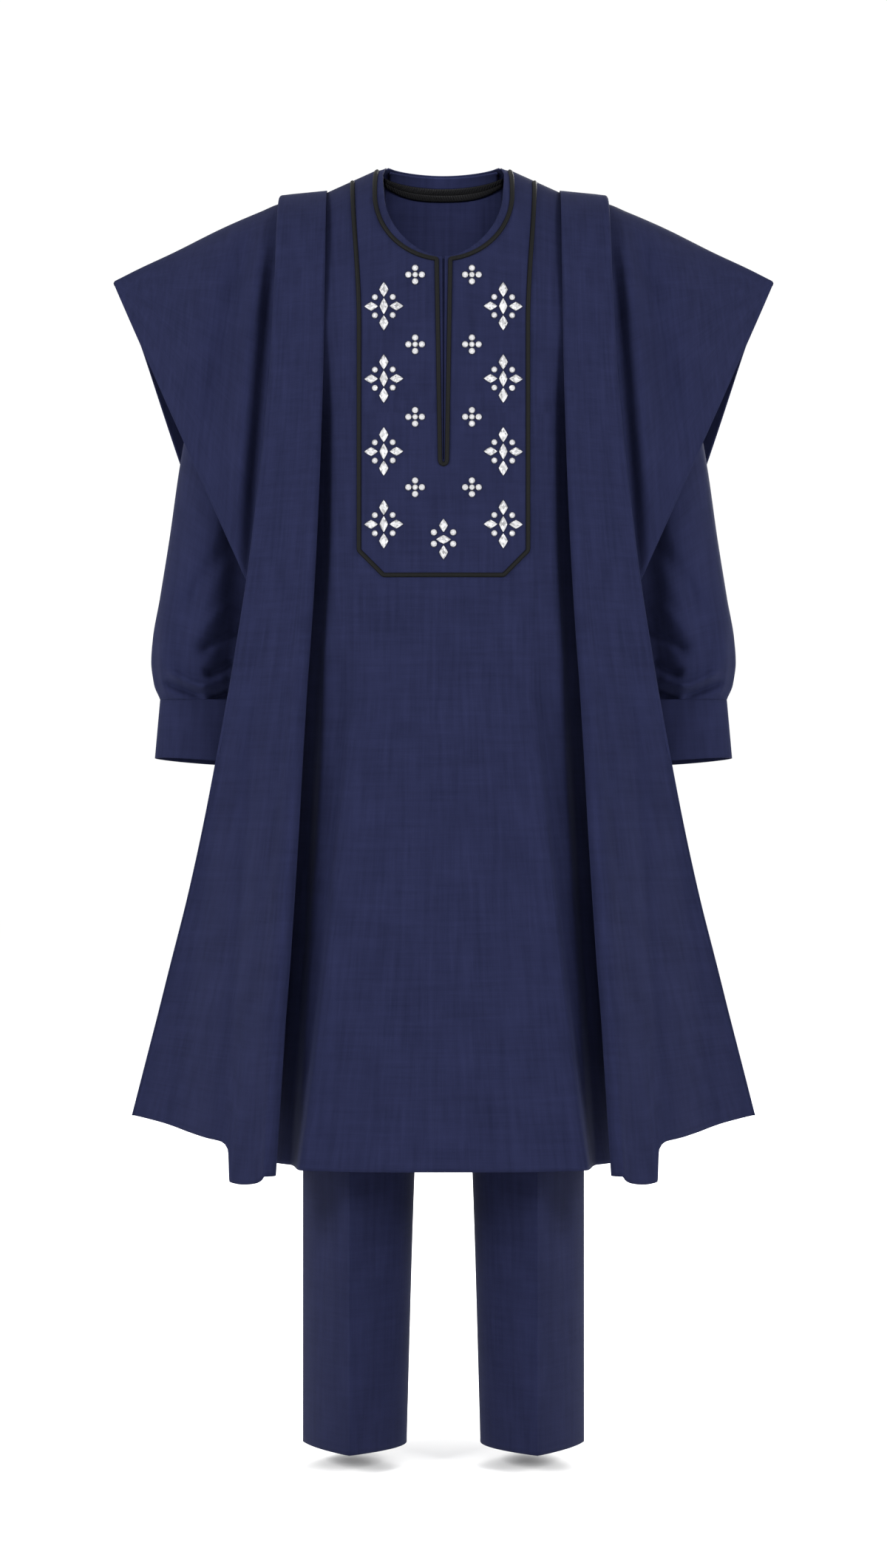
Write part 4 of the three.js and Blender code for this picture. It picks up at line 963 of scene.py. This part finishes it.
def facet_reflection_tone(face, is_round):
    """A grey of its own for each facet, picked at random, as a painted reflection of the
    surroundings; the rounds are paler.
    """
    middle = face.calc_center_median()
    mark = math.sin(middle.x * 12989.8 + middle.z * 78233.1) * 43758.5453
    darkest, paler = ROUND_REFLECTION_TONES if is_round else LOZENGE_REFLECTION_TONES
    return darkest + paler * (mark - math.floor(mark)) ** 0.7


stones = bmesh.new()
cups = bmesh.new()
for shape in (stones, cups):
    shape.faces.layers.int.new("round")


def stone(kind, x, z, size):
    """A stone of a width and height, faceted from its girdle to its table, in its cup."""
    width, height = size
    rise = LOZENGE_HEIGHT if kind == "lozenge" else ROUND_HEIGHT
    rings = [(1.0, 0), (1.0, GIRDLE), (0.70, CROWN), (0.34, rise)]
    set_stone(stones, kind, x, z, width, height, rings)
    rim = 2 * CUP_RIM
    set_stone(cups, kind, x, z, width + rim, height + rim, [(1.0, -0.0002), (1.0, 0.0007)])


for side in (-1, 1):
    for z in LARGE_CROSSES["z"]:
        x = side * LARGE_CROSSES["x"]
        stone("lozenge", x, z, LARGE_MIDDLE)
        for turn in (-1, 1):
            stone("lozenge", x, z + turn * 0.0184, LARGE_UPRIGHT)
            stone("lozenge", x + turn * 0.0139, z, LARGE_ARM)
            for tilt in (-1, 1):
                stone("round", x + turn * 0.0098, z + tilt * 0.010, LARGE_ROUND)
    for z in SMALL_CROSSES["z"]:
        x = side * SMALL_CROSSES["x"]
        stone("round", x, z, SMALL_MIDDLE)
        for turn in (-1, 1):
            stone("round", x, z + turn * 0.0074, SMALL_ROUND)
            stone("round", x + turn * 0.0074, z, SMALL_ROUND)
stone("lozenge", 0.0, FOOT_CROSS_Z, FOOT_MIDDLE)
stone("lozenge", 0.0, FOOT_CROSS_Z + 0.0154, FOOT_ABOVE)
stone("lozenge", 0.0, FOOT_CROSS_Z - 0.0142, FOOT_BELOW)
for turn in (-1, 1):
    stone("round", turn * 0.0106, FOOT_CROSS_Z + 0.0078, SMALL_ROUND)
    stone("round", turn * 0.0106, FOOT_CROSS_Z - 0.0049, SMALL_ROUND)
for shape in (stones, cups):
    bmesh.ops.remove_doubles(shape, verts=shape.verts, dist=0.00005)
    bmesh.ops.recalc_face_normals(shape, faces=shape.faces)
# Each facet carries its painted reflection as a colour.
painted_facet_reflections = stones.loops.layers.float_color.new("facet")
for face in stones.faces:
    tone = facet_reflection_tone(face, face[stones.faces.layers.int["round"]])
    for loop in face.loops:
        loop[painted_facet_reflections] = (tone, tone, min(1, tone * 1.03), 1)
for shape, name, look in ((stones, "crystals", crystal_glass()), (cups, "crystal_cups", dark_cup())):
    piece = new_piece(shape, name, look)
    piece.data.shade_flat()

# Tunic sleeves
# Wide straight sleeves of the tunic's cloth, set into the armholes, with soft creases inside the
# elbow, and gathered above the cuff.
SLEEVE_RINGS = measures(
    "t out_x out_z in_x in_z deep",
    (0.00, 0.236, -0.098, 0.1915, -0.316, 0.074),
    (0.15, 0.261, -0.168, 0.194, -0.350, 0.070),
    (0.34, 0.283, -0.258, 0.198, -0.394, 0.066),
    (0.51, 0.2985, -0.341, 0.202, -0.442, 0.062),
    (0.67, 0.310, -0.422, 0.206, -0.492, 0.058),
    (0.80, 0.3205, -0.488, 0.210, -0.534, 0.054),
    (0.89, 0.328, -0.535, 0.2125, -0.561, 0.050),
    (0.94, 0.3295, -0.562, 0.214, -0.579, 0.046),
    (0.975, 0.3265, -0.586, 0.215, -0.593, 0.039),
    (1.00, 0.3205, -0.6044, 0.2165, -0.6064, 0.028),
)
SLEEVE_SWING = -0.008
SLEEVE_HEAD = 0.12
GATHERS = dict(count=8, depth=0.0012)
SLEEVE_FOLDS = measures(
    "start end width depth side bow",
    ((0.224, -0.380), (0.238, -0.580), 0.017, -0.0170, -1, 0.02),
    ((0.238, -0.430), (0.286, -0.500), 0.011, -0.0060, -1, 0.12),
    ((0.238, -0.500), (0.276, -0.532), 0.008, 0.0045, -1, 0.12),
    ((0.233, -0.525), (0.270, -0.549), 0.007, -0.0100, -1, 0.12),
    ((0.306, -0.574), (0.269, -0.5915), 0.0045, 0.0078, -1, 0.12),
    ((0.311, -0.586), (0.274, -0.5995), 0.0045, -0.0088, -1, 0.05),
    ((0.264, -0.576), (0.241, -0.563), 0.0060, -0.0100, -1, 0.12),
    ((0.269, -0.590), (0.246, -0.582), 0.0045, 0.0065, -1, 0.12),
    ((0.262, -0.602), (0.238, -0.595), 0.0055, -0.0130, -1, 0.12),
    ((0.272, -0.300), (0.300, -0.460), 0.016, -0.0030, -1, 0.12),
    ((0.230, -0.455), (0.300, -0.500), 0.011, -0.0050, 1, 0.12),
    ((0.240, -0.520), (0.310, -0.560), 0.009, -0.0040, 1, 0.12),
    ((0.318, -0.572), (0.235, -0.590), 0.007, -0.0040, 1, 0.12),
    ((0.270, -0.300), (0.300, -0.420), 0.014, -0.0030, 1, 0.12),
)
SLEEVE_COLUMNS = 132
SLEEVE_ROWS = 165
SLEEVE_CROWD = ([0, 0.52, 1], [0, 0.80, 1])


def crease(x, z, fold):
    """Height of one soft crease between two points, seen from the front, fading at its ends."""
    (ax, az), (bx, bz) = fold["start"], fold["end"]
    length = math.hypot(bx - ax, bz - az)
    ux, uz = (bx - ax) / length, (bz - az) / length
    along = ((x - ax) * ux + (z - az) * uz) / length
    off = (x - ax) * uz - (z - az) * ux + fold["bow"] * length * (along - along**2)
    crest = fold["depth"] * bell(off / fold["width"])
    return crest * ease((along + 0.25) / 0.4) * ease((1.25 - along) / 0.4)


def across_sleeve(ring, share):
    """The x and z of a place on a ring of the sleeve, from its inner to its outer side."""
    return mix(ring["in_x"], ring["out_x"], share), mix(ring["in_z"], ring["out_z"], share)


def sleeve_shape(across, down):
    angle = across * 2 * math.pi
    c, s = np.cos(angle), np.sin(angle)
    t = rest_of(down, SLEEVE_HEAD)
    ring = read_all(SLEEVE_RINGS, t)
    gather = GATHERS["depth"] * np.cos(GATHERS["count"] * angle)
    gather = gather * ease((t - 0.80) / 0.15) * ease((1 - t) / 0.02)
    share = (1 + c) / 2
    x, z = across_sleeve(ring, share)
    x = x + gather * c
    y = SLEEVE_SWING * t - (ring["deep"] + gather) * s
    lift = sum(crease(x, z, fold) * np.where(fold["side"] * -s > 0, 1, 0) for fold in SLEEVE_FOLDS)
    y = y - lift * np.sign(s) * np.abs(s) ** 0.5
    middle = (SHOULDER_TIP["z"] + ARMPIT) / 2
    hole_z = middle + (SHOULDER_TIP["z"] - middle) * c
    hole_x = armhole_edge(hole_z)
    front = tunic_depth(hole_x, hole_z, "front")
    back = tunic_depth(hole_x, hole_z, "back")
    hole_y = np.where(s > 0, -front, back) * (np.abs(s) > 1e-6)
    hole_x = hole_x + SEAM + 0.0007 * (np.arccos(np.clip(c, -1, 1)) / math.pi) ** 3
    head = np.clip(down / SLEEVE_HEAD, 0, 1)
    return mix(hole_x, x, head), mix(hole_y, y, head), mix(hole_z, z, head)


right_sleeve = weave(
    SLEEVE_COLUMNS, SLEEVE_ROWS, 0.40, 0.54, sleeve_shape, joined=True, crowded=SLEEVE_CROWD
)
sewn_pair(right_sleeve, "tunic_sleeve")

# Cuffs
# Plain doubled cuffs, stiffer than the sleeve, closed all round and a little lower at the back.
CUFF_TOP = dict(out_x=0.3202, out_z=-0.6036, in_x=0.2169, in_z=-0.6056, deep=0.0274)
CUFF_SEAM = dict(out_x=0.3207, out_z=-0.6062, in_x=0.2165, in_z=-0.6082, deep=0.0280)
CUFF_HEM = dict(out_x=0.3265, out_z=-0.671, in_x=0.219, in_z=-0.679, deep=0.0280)
CUFF_TILT = 0.0024
CUFF_TUCK = 0.06


def cuff_shape(across, down):
    angle = across * 2 * math.pi
    share = (1 + np.cos(angle)) / 2
    tuck = np.clip(down / CUFF_TUCK, 0, 1)
    below = rest_of(down, CUFF_TUCK)
    ring = {
        column: mix(mix(CUFF_TOP[column], CUFF_SEAM[column], ease(tuck)), CUFF_HEM[column], below)
        for column in CUFF_TOP
    }
    x, z = across_sleeve(ring, share)
    z = z + CUFF_TILT * down * np.sin(angle)
    return x, SLEEVE_SWING - ring["deep"] * np.sin(angle), z


right_cuff = weave(72, 50, 0.235, 0.072, cuff_shape, joined=True)
sewn_pair(right_cuff, "tunic_cuff")

# Robe fronts
# The open robe hangs from pleats on the shoulders. Each front's inner edge is rolled under and
# falls in a soft column, and the outer edge joins the back below the arm.
ROBE_LEVELS = measures(
    "z inner outer inner_y outer_y",
    (-0.125, 0.1315, 0.1865, 0.1060, 0.0995),
    (-0.220, 0.1330, 0.1905, 0.1085, 0.1000),
    (-0.308, 0.1355, 0.1980, 0.1105, 0.0995),
    (-0.402, 0.1390, 0.2085, 0.1125, 0.0985),
    (-0.478, 0.1430, 0.2185, 0.1145, 0.0960),
    (-0.533, 0.1465, 0.2273, 0.1160, 0.0920),
    (-0.596, 0.1510, 0.2383, 0.1185, 0.0870),
    (-0.680, 0.1560, 0.2555, 0.1215, 0.0660),
    (-0.745, 0.1595, 0.2700, 0.1240, 0.0400),
    (-0.800, 0.1628, 0.2833, 0.1260, 0.0180),
    (-0.850, 0.1660, 0.2960, 0.1280, 0.0040),
    (-0.900, 0.1693, 0.3090, 0.1300, 0.0014),
    (-0.960, 0.1740, 0.3240, 0.1330, 0.0014),
)
LAST_LEVEL = -0.960
HEM_INNER_Y = 0.138
SIDE_Y = 0.0014
STRIP = dict(inner=0.132, outer=0.185, inner_z=-0.0276, outer_z=-0.0326, round=0.150)
ROBE_HEM = measures(
    "u x z",
    (0.00, 0.1845, -1.1300), (0.06, 0.1895, -1.1350), (0.13, 0.2010, -1.1392),
    (0.22, 0.2210, -1.1414), (0.29, 0.2360, -1.1395), (0.32, 0.2383, -1.1045),
    (0.36, 0.2463, -1.0965), (0.46, 0.2635, -1.0940), (0.60, 0.2850, -1.0900),
    (0.78, 0.3180, -1.0820), (0.92, 0.3410, -1.0785), (1.00, 0.3540, -1.0765),
)
INNER_ROLL = measures(
    "z radius turn",
    (-0.028, 0.0016, 12), (-0.060, 0.0020, 50), (-0.200, 0.0040, 110),
    (-0.500, 0.0080, 150), (-0.900, 0.0110, 160), (-1.140, 0.0120, 165),
)
OUTER_ROLL = measures(
    "z radius turn tail",
    (0.000, 0.0029, 180, 0.0140), (-0.300, 0.0026, 180, 0.0100),
    (-0.470, 0.0022, 170, 0.0040), (-0.560, 0.0022, 90, 0.0025),
    (-0.640, 0.0022, 20, 0.0025), (-0.700, 0.0022, 5, 0.0025), (-1.140, 0.0022, 5, 0.0025),
)
OVER_SHOULDER = 0.20
FREE_HANG = 0.84
ROBE_ACROSS = ([0, 0.12, 0.38, 0.44, 0.90, 0.97, 1], [-1, 0, 0.29, 0.32, 1, 2, 3])
ROBE_FOLDS = measures(
    "top_x hem_x width depth top bottom",
    (0.150, 0.222, 0.016, 0.0016, -0.34, -1.20),
    (0.168, 0.246, 0.010, -0.0032, -0.50, -1.24),
    (0.180, 0.278, 0.020, 0.0024, -0.42, -1.22),
    (0.200, 0.306, 0.014, -0.0020, -0.66, -1.22),
    (0.205, 0.332, 0.018, 0.0016, -0.74, -1.22),
)
FOLDS_FOOT = -1.140
ROBE_COLUMNS = 84
ROBE_ROWS = 150


def swelled(u):
    return mix(u, u * u * (3 - 2 * u), 0.5)


def robe_level(u, z):
    level = read_all(ROBE_LEVELS, z)
    x = mix(level["inner"], level["outer"], u)
    return x, mix(level["inner_y"], level["outer_y"], swelled(u))


def robe_folds(x, z):
    height = 0
    for fold in ROBE_FOLDS:
        t = (STRIP["inner_z"] - z) / (STRIP["inner_z"] - FOLDS_FOOT)
        height = height + fold_height(fold, x, mix(fold["top_x"], fold["hem_x"], t), z)
    return height


def robe_place(u, down, sign):
    """A point of the flat part of the robe: depth, and the direction towards the body there."""
    top = mix(STRIP["inner_z"], STRIP["outer_z"], u)
    arc = np.clip(down / OVER_SHOULDER, 0, 1)
    turn = arc * math.pi / 2
    below = np.clip((down - OVER_SHOULDER) / (FREE_HANG - OVER_SHOULDER), 0, 1)
    hem = rest_of(down, FREE_HANG)
    z = mix(top - STRIP["round"] * (1 - np.cos(turn)), LAST_LEVEL, below)
    level_x, depth = robe_level(u, z)
    x = mix(mix(STRIP["inner"], STRIP["outer"], u), level_x, arc)
    x = mix(x, read(ROBE_HEM, u, "x"), hem)
    z = mix(z, read(ROBE_HEM, u, "z"), hem)
    inner_y = mix(ROBE_LEVELS[-1]["inner_y"], HEM_INNER_Y, hem)
    hem_depth = mix(inner_y, SIDE_Y, swelled(u))
    depth = np.where(hem > 0, hem_depth, depth)
    off_edges = np.clip(u * 8, 0, 1) * np.clip((1 - u) * 8, 0, 1)
    depth = depth + robe_folds(x, z) * off_edges
    y = sign * (depth * np.sin(turn) + SEAM / 2)
    return np.stack([x, y, z]), np.stack([0 * x, -sign * np.sin(turn), -np.cos(turn)])


def robe_side(u, down, sign, free_edge=True):
    """The robe at one side: the rolled inner edge below 0, the flat part, the outer fold past 1."""
    flat, inward = robe_place(np.clip(u, 0, 1), down, sign)
    z = flat[2]
    if free_edge:
        turn = np.radians(read(INNER_ROLL, z, "turn"))
        room = np.abs(flat[1]) - tunic_depth(flat[0], z, "front") - CLOTH - 2 * SEAM
        fitting = np.maximum(room / (1 - np.cos(turn)), CLOTH)
        radius = np.minimum(read(INNER_ROLL, z, "radius"), fitting)
        angle = turn * np.clip(-u, 0, 1)
        reach = radius * np.sin(np.minimum(turn, math.pi / 2))
        rolled = flat + inward * radius * (1 - np.cos(angle))
        rolled[0] += reach - radius * np.sin(angle) - reach * ease(np.clip(u, 0, 1) / 0.29)
        flat = rolled
    turn = np.radians(read(OUTER_ROLL, z, "turn"))
    radius = read(OUTER_ROLL, z, "radius")
    tail = read(OUTER_ROLL, z, "tail")
    short = turn < math.pi / 2
    reach = np.where(short, radius * np.sin(turn) + tail * np.cos(turn), radius)
    angle = turn * np.clip(u - 1, 0, 1)
    end = tail * np.clip(u - 2, 0, 1)
    folded = flat + inward * (radius * (1 - np.cos(angle)) + end * np.sin(turn))
    folded[0] += radius * np.sin(angle) + end * np.cos(turn) - reach * ease((u - 0.7) / 0.3)
    return folded


def robe_front_shape(across, down):
    return tuple(robe_side(np.interp(across, *ROBE_ACROSS), down, -1))


right_front = weave(ROBE_COLUMNS, ROBE_ROWS, 0.20, 1.18, robe_front_shape)
sewn_pair(right_front, "robe_front")

# Robe back
# One panel with a low neck, joined to the fronts along the shoulder pleats and at the foot of the
# sides. It falls in soft folds, a little lower in the middle of its hem.
ROBE_BACK_NECK = -0.086
ROBE_BACK_CENTRE = measures(
    "z y",
    (-0.080, 0.116), (-0.300, 0.118), (-0.640, 0.114), (-0.900, 0.132), (-1.140, 0.148),
)
BACK_HEM_CENTRE = -1.150
BACK_EASE = 0.0062
BACK_SIDE = 0.34
BACK_ACROSS = ([0, 0.34, 0.40, 0.86, 0.95, 1], [0, 0.29, 0.32, 1, 2, 3])
BACK_FOLDS = measures(
    "x lean width depth top bottom",
    (-0.088, 0.10, 0.015, 0.0095, -0.16, -1.25),
    (-0.050, 0.05, 0.012, 0.0062, -0.34, -1.25),
    (-0.012, 0.01, 0.016, 0.0080, -0.24, -1.25),
    (0.034, -0.04, 0.013, 0.0068, -0.40, -1.25),
    (0.082, -0.10, 0.016, 0.0100, -0.18, -1.25),
)


def robe_back_shape(across, down):
    sided = np.where(across < 0.5, 1 - across / BACK_SIDE, (across - (1 - BACK_SIDE)) / BACK_SIDE)
    mirror = np.where(across < 0.5, -1, 1)
    u = np.interp(np.clip(sided, 0, 1), *BACK_ACROSS)
    side_x, side_y, side_z = robe_side(u, down, 1, free_edge=False)
    middle = np.clip((across - BACK_SIDE) / (1 - 2 * BACK_SIDE), 0, 1) * 2 - 1
    edge, _ = robe_place(0 * across, down, 1)
    bow = 1 - middle**2
    hem = rest_of(down, FREE_HANG)
    neck_drop = 1 - ease((STRIP["inner_z"] - edge[2]) / 0.220)
    z = edge[2] + bow * (ROBE_BACK_NECK - STRIP["inner_z"]) * neck_drop
    z = z + (BACK_HEM_CENTRE - edge[2]) * bow * hem
    x = edge[0] * middle
    level = robe_level(0 * across, z)[1]
    deep = mix(read(ROBE_BACK_CENTRE, z, "y"), level, np.abs(middle) ** 1.5)
    hanging = deep * round_over(STRIP["inner_z"] - z, STRIP["round"])
    for fold in BACK_FOLDS:
        line = fold["x"] + fold["lean"] * (z - fold["top"])
        hanging = hanging + fold_height(fold, x, line, z) * ease(bow * 4)
    y = np.maximum(hanging, tunic_depth(x, z, "back") + BACK_EASE) + SEAM / 2
    in_middle = np.abs(middle) < 1
    return (
        np.where(in_middle, x, mirror * side_x),
        np.where(in_middle, y, side_y),
        np.where(in_middle, z, side_z),
    )


robe_back = weave(150, ROBE_ROWS, 0.72, 1.18, robe_back_shape)
sewn_cloth(robe_back, "robe_back")

# Winged sleeves
# Each wing is one piece over the shoulder, tucked under the pleat, and its front and back hems
# run straight from the tip down to the side of the body.
WING_RIDGE = measures(
    "x z deep",
    (0.150, -0.0352, 0.0985), (0.164, -0.0402, 0.0935), (0.183, -0.0418, 0.0895),
    (0.207, -0.0510, 0.0860), (0.249, -0.0690, 0.0770), (0.307, -0.0975, 0.0550),
    (0.345, -0.1150, 0.0350), (0.373, -0.1290, 0.0150),
)
WING_FRONT_HEM = dict(inner=(0.200, -0.516), tip=(0.3745, -0.1315))
WING_BACK_HEM = dict(inner=(0.214, -0.590), tip=(0.3750, -0.1320))
BACK_HEM_CURVE = dict(depth=0.0055, at=0.117)
WING_FOLDS = measures(
    "start end width depth bow",
    ((0.190, -0.128), (0.214, -0.440), 0.009, -0.0125, 0.03),
    ((0.204, -0.095), (0.226, -0.340), 0.010, 0.0055, 0.04),
    ((0.222, -0.104), (0.256, -0.280), 0.013, -0.0095, 0.05),
    ((0.262, -0.110), (0.290, -0.290), 0.020, 0.0030, 0.08),
)


def wing_shape(across, down):
    swing = 2 * down - 1
    v = np.sign(swing) * (1 - np.cos(math.pi / 2 * np.abs(swing)))
    first, last = WING_RIDGE[0]["x"], WING_RIDGE[-1]["x"]
    top_x = mix(first, last, across)
    top_z = read(WING_RIDGE, top_x, "z")
    hem = {
        end: [np.where(v < 0, WING_BACK_HEM[end][k], WING_FRONT_HEM[end][k]) for k in (0, 1)]
        for end in ("inner", "tip")
    }
    curve = (1 - across) / BACK_HEM_CURVE["at"]
    drawn_in = np.where(v < 0, BACK_HEM_CURVE["depth"] * curve * np.exp(1 - curve), 0)
    x = mix(top_x, mix(hem["inner"][0], hem["tip"][0], across) - drawn_in, np.abs(v))
    z = mix(top_z, mix(hem["inner"][1], hem["tip"][1], across), np.abs(v))
    drop = read(WING_RIDGE, x, "z") - z
    lift = sum(crease(x, z, fold) for fold in WING_FOLDS)
    deep = (read(WING_RIDGE, x, "deep") + lift) * round_over(drop, STRIP["round"])
    return x, -np.sign(v) * deep, z


right_wing = weave(64, 150, 0.34, 1.04, wing_shape)
sewn_pair(right_wing, "robe_wing")
